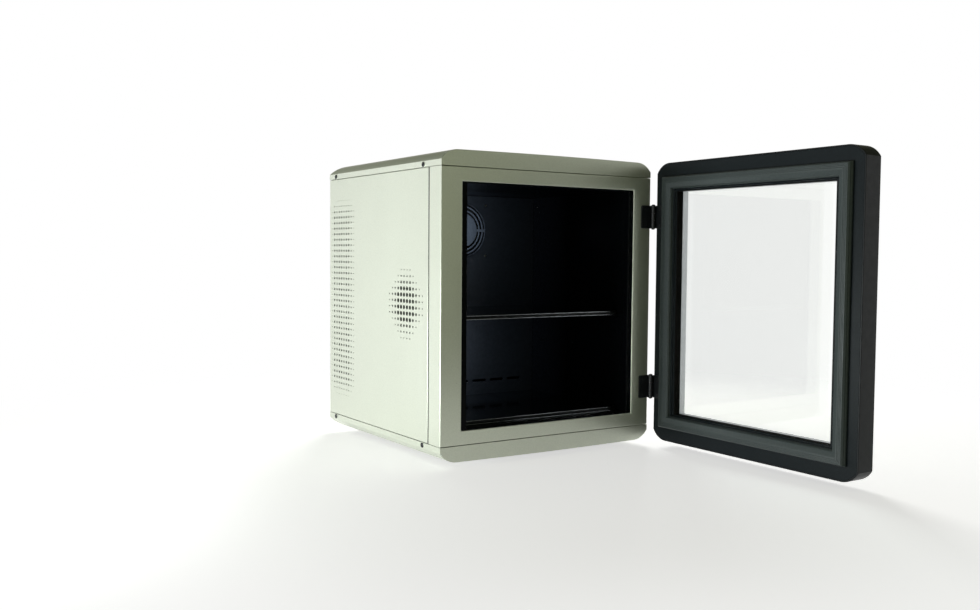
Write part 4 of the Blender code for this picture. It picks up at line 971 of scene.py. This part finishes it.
def make_door():
    """Door: casing, inner trim and glazing bead, each a filleted section carried round the door's rings."""
    skin = DOOR_SKIN
    depth = DOOR_HIGH[0] - DOOR_LOW[0]
    inside = depth - skin
    window = CASING_WINDOW
    outline = [(skin, 0), (0, 0), (0, depth), (window, depth), (window, inside), (skin, inside)]
    section = fillet(outline, [0, CASING_EDGE, DOOR_EDGE, CASING_EDGE, 0, 0], 5, True)
    casing = shape("door_casing", loft(door_rings(section), True))
    dress(casing, CASING, "door", "black_plastic", "door_outer_frame")

    rim = skin + GAP
    back = WINDOW - skin
    face = WINDOW - GLAZING_BEAD
    step = SEAT_END + STEP_IN
    ridge, ridge_end, ridge_foot = SEAT_END + np.array(RIDGE_IN)
    outline = [(rim, 0), (step, 0), (step, STEP_DEEP), (ridge, STEP_DEEP), (ridge, -RIDGE_H),
               (ridge_end, -RIDGE_H), (ridge_foot, SILL_DEEP), (face, SILL_DEEP), (face, RECESS),
               (back, RECESS), (back, skin), (rim, skin)]
    section = fillet(outline, INNER_TRIM_ROUND, 4, True)
    inner = shape("door_inner_trim", loft(door_rings(section), True))
    dress(inner, FLANGE, "door", "door_grey", "door_inner_frame")

    face += LAP
    outline = [(face, BEAD_FACE[0]), (WINDOW, BEAD_FACE[1]), (WINDOW, RECESS), (face, RECESS)]
    section = fillet(outline, [*BEAD_FACE_ROUND, 0, 0], 4, True)
    bead = shape("glazing_bead", loft(door_rings(section), True))
    dress(bead, RUBBER, "door", "gasket_rubber")


def make_spacer_bar():
    """Spacer bar between the panes: a tapered section carried round a rectangle."""
    low, high = corners("glazing_spacer")
    near, far = low[0] + SPACER_CLEAR, high[0] - SPACER_CLEAR
    thick = SPACER_BAR
    thin, run = thick - SPACER_TAPER[0], SPACER_TAPER[1]
    section = [(0, near), (thin, near), (thick, near + run), (thick, far - run), (thin, far), (0, far)]
    section = np.array(section)
    inset = SPACER_IN + LAP + section[:, 0]
    rings = on_plane(rectangles(DOOR_LOW[1:], DOOR_HIGH[1:], inset), 0, section[:, 1:])
    bar = shape("spacer_bar", loft(rings, True))
    dress(bar, ALUMINIUM, "door", "bare_aluminium")


def make_gasket():
    """Door gasket: bellows, a ribbed face at its tip and a heel, carried round mitred rectangles."""
    low, high = corners("door_gasket")
    ribs = [FACE_RIB + (start, 0, 0) for start in FACE_RIBS_IN]
    face = np.vstack([FACE_START, *ribs, FACE_END]) + (0, low[0] - high[0], 0)
    line = np.vstack([BELLOWS, face, HEEL])
    section = fillet(line[:, :2], line[:, 2], 4, True)
    inset = SEAT + section[:, 0]
    flat = rectangles(DOOR_LOW[1:], DOOR_HIGH[1:], inset, end_inset(inset))
    rings = on_plane(flat, 0, high[0] + section[:, 1:])
    seal = shape("door_seal", loft(rings, True), sharp=35.0)
    dress(seal, GASKET, "door", "gasket_rubber", "door_gasket")


def leaf_slab(low, high, axis):
    """Hinge leaf as a slab with round corners: rings drawn in a little at both faces."""
    flat_low, flat_high = np.delete(low, axis), np.delete(high, axis)
    inset = np.array([LEAF_EDGE, 0, 0, LEAF_EDGE])
    level = np.array([low[axis], low[axis] + LEAF_EDGE, high[axis] - LEAF_EDGE, high[axis]])
    half = (flat_high - flat_low) / 2 - inset[:, None]
    rings = (flat_low + flat_high) / 2 + round_ring(half, LEAF_CORNER - inset)
    return shape("leaf", loft(on_plane(rings, axis, level[:, None])))


def knuckle(low, high, towards):
    """Knuckle: a turned barrel about the hinge axis with a web that reaches to its leaf."""
    edge = KNUCKLE_EDGE
    wide, slim = KNUCKLE_R, KNUCKLE_R - edge
    profile = [(slim, low), (wide, low + edge), (wide, high - edge), (slim, high)]
    barrel = lathe(profile, 2, (HINGE_AXIS[0], HINGE_AXIS[1], 0.0))
    plan = rectangles(towards.min(0), towards.max(0), np.zeros(2))
    web = on_plane(plan, 2, np.array([[low + edge], [high - edge]]))
    return [shape("barrel", loft(barrel)), shape("web", loft(web))]


def make_leaf(name, node, axis, face, reach, spans, body):
    """Hinge leaf on a face: a slab, a thin back that reaches behind the knuckles, knuckles and two screws.

    Spans are the thirds of its height that hold a knuckle, each with a clearance at its ends."""
    along = 1 - axis
    low, high = corners(node)
    third = (high[2] - low[2]) / 3
    edge = HINGE_AXIS[along] - KNUCKLE_R - KNUCKLE_CLEAR

    def spot(run, out, level):
        """Point at a run along the leaf, so far out from its face."""
        point = np.array([run, run, level])
        point[axis] = face - out
        return point

    parts = [leaf_slab(spot(low[along], LEAF_T, low[2]), spot(edge, 0.0, high[2]), axis),
             leaf_slab(spot(low[along], LEAF_BACK, low[2]), spot(reach, 0.0, high[2]), axis)]
    web = [spot(edge - LEAF_CORNER, LEAF_T, 0.0), spot(HINGE_AXIS[along] - WEB_BACK, 0.0, 0.0)]
    web = np.array(web)[:, :2]
    for first, clear in spans:
        start = low[2] + first * third
        parts += knuckle(start + clear, start + third - clear, web)
    leaf = fuse(parts, name)
    dress(leaf, BLACK_STEEL, body, "hinge_black", node)
    for i, level in enumerate((low[2] + third / 2, high[2] - third / 2)):
        seat = spot((low[along] + edge) / 2, LEAF_T, level)
        make_screw(f"{name}_screw_{i}", seat, axis, -1, LEAF_SCREW, body)


def make_hinges():
    """Butt hinges: a leaf on the frame with two knuckles, a leaf on the door with one, and a turned pin."""
    for tag in ("upper", "lower"):
        behind = HINGE_AXIS[0] + KNUCKLE_R - GAP
        make_leaf(f"{tag}_frame_leaf", f"{tag}_hinge_case_leaf", 1, FRONT_LOW[1] - GAP, behind,
                  ((0, 0.0), (2, 0.0)), "cabinet")
        make_leaf(f"{tag}_door_leaf", f"{tag}_hinge_door_leaf", 0, DOOR_LOW[0] - GAP, HINGE_AXIS[1],
                  ((1, GAP),), "door")

        low, high = corners(f"{tag}_hinge_pin")
        turn = np.linspace(0, np.pi / 2, 5)[:-1]
        dome = np.stack([PIN_HEAD_R * np.cos(turn), PIN_HEAD_H * np.sin(turn)], -1)
        start, end = low[2] + PIN_HEAD_H, high[2] - PIN_HEAD_H
        shaft = [(PIN_R, start), (PIN_R, end)]
        profile = np.vstack([dome[::-1] * (1, -1) + (0, start), shaft, dome + (0, end)])
        pin = shape(f"{tag}_pin", loft(lathe(profile, 2, (HINGE_AXIS[0], HINGE_AXIS[1], 0.0))))
        dress(pin, BLACK_STEEL, "cabinet", "pin_steel", f"{tag}_hinge_pin")


def make_screw(name, seat, axis, sign, size, body, *nodes, finish=BLACK_STEEL):
    """Screw head: a square grid mapped to a disc, domed, with a cross recess sunk where two bars cross.

    The disc's points are s times the root of one less half t squared, and the other way round. The dome is
    the root of one less the distance squared, and the side is a ring from the rim down to the seat."""
    radius, height = size
    near, far = CROSS_HALF, CROSS_REACH
    line = np.array([-1, -HEAD_RIM, -far - CROSS_SLOPE[1], -far, -near - CROSS_SLOPE[0], -near])
    line = np.concatenate([line, [0.0], -line[::-1]])
    s, t = np.meshgrid(line, line, indexing="ij")
    disc = np.stack([s * np.sqrt(1 - t ** 2 / 2), t * np.sqrt(1 - s ** 2 / 2)], -1)
    dome = HEAD_SIDE + (1 - HEAD_SIDE) * np.sqrt(np.clip(1 - (disc ** 2).sum(-1), 0, 1))
    bar = (np.abs(s) < near + WELD) & (np.abs(t) < far + WELD)
    dome = dome - (1 - HEAD_SIDE) * (bar | bar.T)
    seat = np.array(seat)
    top = on_plane(np.delete(seat, axis) + radius * disc, axis, seat[axis] + sign * height * dome)
    border = np.concatenate([top[0, :-1], top[:-1, -1], top[-1, :0:-1], top[:0:-1, 0]])
    foot = border.copy()
    foot[:, axis] = seat[axis]
    head = shape(name, [grid(top), grid(np.stack([border, foot]), False, True), cap(foot)], sharp=40.0)
    dress(head, finish, body, "screw_black", *nodes)


def make_cover_screws():
    """Cover screws with a pressed ring of the lip round each head."""
    turn = np.linspace(0, np.pi, 9)
    for row in ("top", "low"):
        for side, sign in (("left", -1), ("right", 1)):
            for place in ("front", "rear"):
                node = f"cover_screw_{row}_{side}_{place}"
                low, high = corners(node)
                seat = (low + high) / 2
                seat[0] = FRONT_LOW[0] if sign < 0 else FRONT_HIGH[0]
                make_screw(node + "_head", seat, 0, sign, COVER_SCREW, "cabinet", node)
                ring = np.stack([DIMPLE_R + DIMPLE_HALF * np.cos(turn), sign * DIMPLE_H * np.sin(turn)], -1)
                bead = shape(node + "_dimple", loft(lathe(ring, 0, seat, DIMPLE_TURNS), True), sharp=60.0)
                dress(bead, PAINT, "cabinet", "white_shell")


def make_liner_screws():
    """Small screws round the fan grille and one near the rear of the right wall."""
    for i, (right, up) in enumerate(((-1, -1), (1, -1), (-1, 1), (1, 1))):
        spot = (FAN_AXIS[0] + right * GRILLE_SCREWS[0], DUCT_LOW[1], FAN_AXIS[2] + up * GRILLE_SCREWS[1])
        make_screw(f"duct_screw_{i}", spot, 1, -1, LINER_SCREW, "cabinet", finish=PIN)
    spot = (LINER_HIGH[0] - RIM, DUCT_LOW[1] - WALL_SCREW_BACK, FAN_AXIS[2] + GRILLE_SCREWS[1])
    make_screw("wall_screw", spot, 0, -1, LINER_SCREW, "cabinet", finish=PIN)


def make_feet():
    """Feet: turned rubber cups with a rounded tread and three ribs."""
    for place in ("front", "rear"):
        for side in ("left", "right"):
            node = f"foot_{place}_{side}"
            low, high = corners(node)
            tall = high[2] - low[2]
            sixth = tall / 6
            line = [(FOOT_BORE, 0), (FOOT_TREAD, 0), (FOOT_WALL, sixth)]
            for i in range(FOOT_RIBS):
                base = sixth * (RIB_START + RIB_STEP * i)
                rise, end = base + RIB_RISE * sixth, base + RIB_END * sixth
                line += [(FOOT_GROOVE, base), (FOOT_RIB, rise), (FOOT_RIB, end)]
            line += [(FOOT_TOP, tall - TOP_BAND * sixth), (FOOT_TOP, tall), (FOOT_BORE, tall)]
            section = fillet(line, [0, FOOT_ROUND[0], *[FOOT_ROUND[1]] * (len(line) - 4), 0, 0], 3)
            centre = ((low[0] + high[0]) / 2, (low[1] + high[1]) / 2, low[2])
            foot = shape(node + "_rubber", loft(lathe(section, 2, centre, FOOT_TURNS)))
            dress(foot, RUBBER, "cabinet", "foot_rubber", node)


def dress_inner_nodes():
    """Finishes of the nodes that keep their own shape."""
    kept = {
        "insulation": FOAM_WITH_PAINTED_SHADE, "power_supply": ALUMINIUM, "cold_sink": ALUMINIUM, "hot_sink": ALUMINIUM,
        "thermoelectric_module": CERAMIC, "mains_inlet": PBT, "circulation_fan_frame": PBT,
        "circulation_fan_rotor": PBT, "exhaust_fan_frame": PBT, "exhaust_fan_rotor": PBT,
        "inner_glass": GLASS, "outer_glass": GLASS, "glazing_spacer": CASING,
    }
    for node, finish in kept.items():
        mesh = frame["nodes"][node].data
        mesh.materials.clear()
        mesh.materials.append(finish)


make_covers()
make_front_frame()
make_groove_shade_bars()
make_side_panels()
make_rear_panel()
make_liner()
make_duct_cover()
make_grille()
make_shelf("upper_shelf")
make_shelf("lower_shelf")
make_door()
make_spacer_bar()
make_gasket()
make_hinges()
make_cover_screws()
make_feet()
dress_inner_nodes()
make_liner_screws()


# Stage, light and camera


def seen_directly(tree):
    """One where a ray is the camera's own, straight or by gloss and glass, and nought for diffuse light."""
    path = add(tree, "LightPath").outputs
    seen = {0: path["Is Camera Ray"], 1: path["Is Glossy Ray"]}
    seen = add(tree, "Math", seen, operation="MAXIMUM").outputs[0]
    seen = add(tree, "Math", {0: seen, 1: path["Is Transmission Ray"]}, operation="MAXIMUM").outputs[0]
    dull = add(tree, "Math", {0: path["Diffuse Depth"], 1: 0.5}, operation="LESS_THAN").outputs[0]
    return add(tree, "Math", {0: seen, 1: dull}, operation="MULTIPLY").outputs[0]


def surroundings(tree, towards):
    """What stands round the object, as colour and strength: white, but in gloss a dim olive room."""
    way = add(tree, "VectorMath", {0: towards}, operation="NORMALIZE").outputs["Vector"]
    way = add(tree, "SeparateXYZ", {0: way}).outputs
    room = {"Value": way["Y"], "From Min": ROOM_EDGE[0], "From Max": ROOM_EDGE[1], "To Min": ROOM_DIM}
    room = add(tree, "MapRange", room).outputs["Result"]
    ceiling = {"Value": way["Z"], "From Min": CEILING_EDGE[0], "From Max": CEILING_EDGE[1], "To Min": 1.0}
    ceiling = add(tree, "MapRange", {**ceiling, "To Max": CEILING_DIM}).outputs["Result"]
    level = add(tree, "Math", {0: room, 1: ceiling}, operation="MINIMUM").outputs[0]
    path = add(tree, "LightPath").outputs
    gloss = {0: path["Is Glossy Ray"], 1: path["Is Transmission Ray"]}
    gloss = add(tree, "Math", gloss, operation="GREATER_THAN").outputs[0]
    strength = add(tree, "Mix", {"Factor": gloss, 2: 1.0, 3: level}, data_type="FLOAT").outputs[0]
    tint = {"Factor": strength, 6: linear("#E0E4B0"), 7: linear("#FFFFFF")}
    return {"Color": add(tree, "Mix", tint, data_type="RGBA").outputs[2], "Strength": strength}


def make_stage():
    """White floor: near the object it takes light and shadow, further out it fades to the background."""
    mesh = bpy.data.meshes.new("floor")
    far = FLOOR_REACH
    mesh.from_pydata([(-far, -far, 0), (far, -far, 0), (far, far, 0), (-far, far, 0)], [], [(0, 1, 2, 3)])
    floor = bpy.data.objects.new("floor", mesh)
    bpy.context.scene.collection.objects.link(floor)
    material = bpy.data.materials.new("white_paper")
    material.use_nodes = True
    tree = material.node_tree
    tree.nodes.clear()
    direct = seen_directly(tree)
    place = add(tree, "TexCoord").outputs["Object"]
    away = add(tree, "VectorMath", {0: place}, operation="LENGTH").outputs["Value"]
    fade = {"Value": away, "From Min": FLOOR_FADE[0], "From Max": FLOOR_FADE[1]}
    fade = add(tree, "MapRange", fade, interpolation_type="SMOOTHSTEP").outputs["Result"]
    fade = add(tree, "Math", {0: fade, 1: direct}, operation="MULTIPLY").outputs[0]
    glow = add(tree, "Math", {0: direct, 1: FLOOR_GLOW}, operation="MULTIPLY").outputs[0]
    shade = add(tree, "BsdfDiffuse", {"Color": linear("#E6E6E4")}).outputs["BSDF"]
    light = add(tree, "Emission", {"Color": linear("#FFFFFF"), "Strength": glow}).outputs["Emission"]
    both = add(tree, "AddShader", {0: shade, 1: light}).outputs["Shader"]
    white = add(tree, "Emission", surroundings(tree, place)).outputs["Emission"]
    mixed = add(tree, "MixShader", {0: fade, 1: both, 2: white}).outputs["Shader"]
    add(tree, "OutputMaterial", {"Surface": mixed})
    mesh.materials.append(material)


def make_world():
    """World: white where it is seen, directly or in gloss and glass, and a dim grey fill as light."""
    world = bpy.data.worlds.new("studio")
    bpy.context.scene.world = world
    world.use_nodes = True
    tree = world.node_tree
    tree.nodes.clear()
    fill = {"Color": linear("#C8C7AA"), "Strength": WORLD_FILL}
    fill = add(tree, "Background", fill).outputs["Background"]
    towards = add(tree, "TexCoord").outputs["Generated"]
    white = add(tree, "Background", surroundings(tree, towards)).outputs["Background"]
    mixed = add(tree, "MixShader", {0: seen_directly(tree), 1: fill, 2: white}).outputs["Shader"]
    add(tree, "OutputWorld", {"Surface": mixed})


def stand(name, data, right, up, back, place):
    """Object with these axes at a place, put into the scene."""
    obj = bpy.data.objects.new(name, data)
    turn = np.eye(4)
    turn[:3] = np.stack([right, up, back, place], 1)
    obj.matrix_world = Matrix(turn.tolist())
    bpy.context.scene.collection.objects.link(obj)
    return obj


def make_lamp(name, place, target, size, power, colour, in_gloss):
    """Soft box: a rectangular lamp at a place, facing a target, and seen in gloss or not."""
    lamp = bpy.data.lights.new(name, "AREA")
    lamp.shape = "RECTANGLE"
    lamp.size, lamp.size_y = size
    lamp.energy = power
    lamp.color = linear(colour)[:3]
    back = np.array(place) - np.array(target)
    back = back / np.linalg.norm(back)
    right = np.cross((0, 0, 1), back)
    right = right / np.linalg.norm(right)
    box = stand(name, lamp, right, np.cross(back, right), back, place)
    box.visible_camera = False
    box.visible_transmission = False
    box.visible_glossy = in_gloss


def make_lamps():
    """Soft boxes at the side, in front and behind, and a small glow in each half of the compartment."""
    make_lamp("side_box", place=(-1.25, 0.12, 0.1), target=(FRONT_LOW[0], 0.12, 0.6), size=(0.5, 0.18),
              power=11.0, colour="#F9FFFD", in_gloss=True)
    make_lamp("front_fill", place=(0.0, -2.3, 0.6), target=(MID[0], 0.2, 0.3), size=(2.0, 1.2),
              power=3.6, colour="#ECF5CC", in_gloss=True)
    make_lamp("rear_box", place=(1.3, 2.0, 1.6), target=(MID[0], 0.25, 0.3), size=(1.2, 1.2),
              power=55.0, colour="#FFFFFF", in_gloss=False)
    for half, height in (("upper", 0.455), ("lower", 0.2)):
        place = np.array([MID[0] - 0.11, FRONT_LOW[1] + 0.2, height])
        make_lamp(f"{half}_compartment_glow", place, target=place + (0.0, 1.0, 0.0), size=(0.06, 0.06),
                  power=1.0, colour="#EEF3FF", in_gloss=False)


def make_camera():
    """Camera at the photograph's viewpoint, set from the middle of the front frame's lower edge."""
    yaw, pitch, roll = np.radians(CAMERA_TURN)
    forward = np.array([np.sin(yaw) * np.cos(pitch), np.cos(yaw) * np.cos(pitch), np.sin(pitch)])
    side = np.array([np.cos(yaw), -np.sin(yaw), 0.0])
    rise = np.cross(side, forward)
    right = np.cos(roll) * side + np.sin(roll) * rise
    up = np.cos(roll) * rise - np.sin(roll) * side
    lens = bpy.data.cameras.new("viewpoint")
    lens.sensor_width = CAMERA_SENSOR
    lens.lens = CAMERA_LENS
    place = np.array([MID[0], FRONT_LOW[1], FRONT_LOW[2]]) + CAMERA_PLACE
    bpy.context.scene.camera = stand("viewpoint", lens, right, up, -forward, place)


make_stage()
make_world()
make_lamps()
make_camera()
bpy.context.scene.view_settings.view_transform = "Standard"
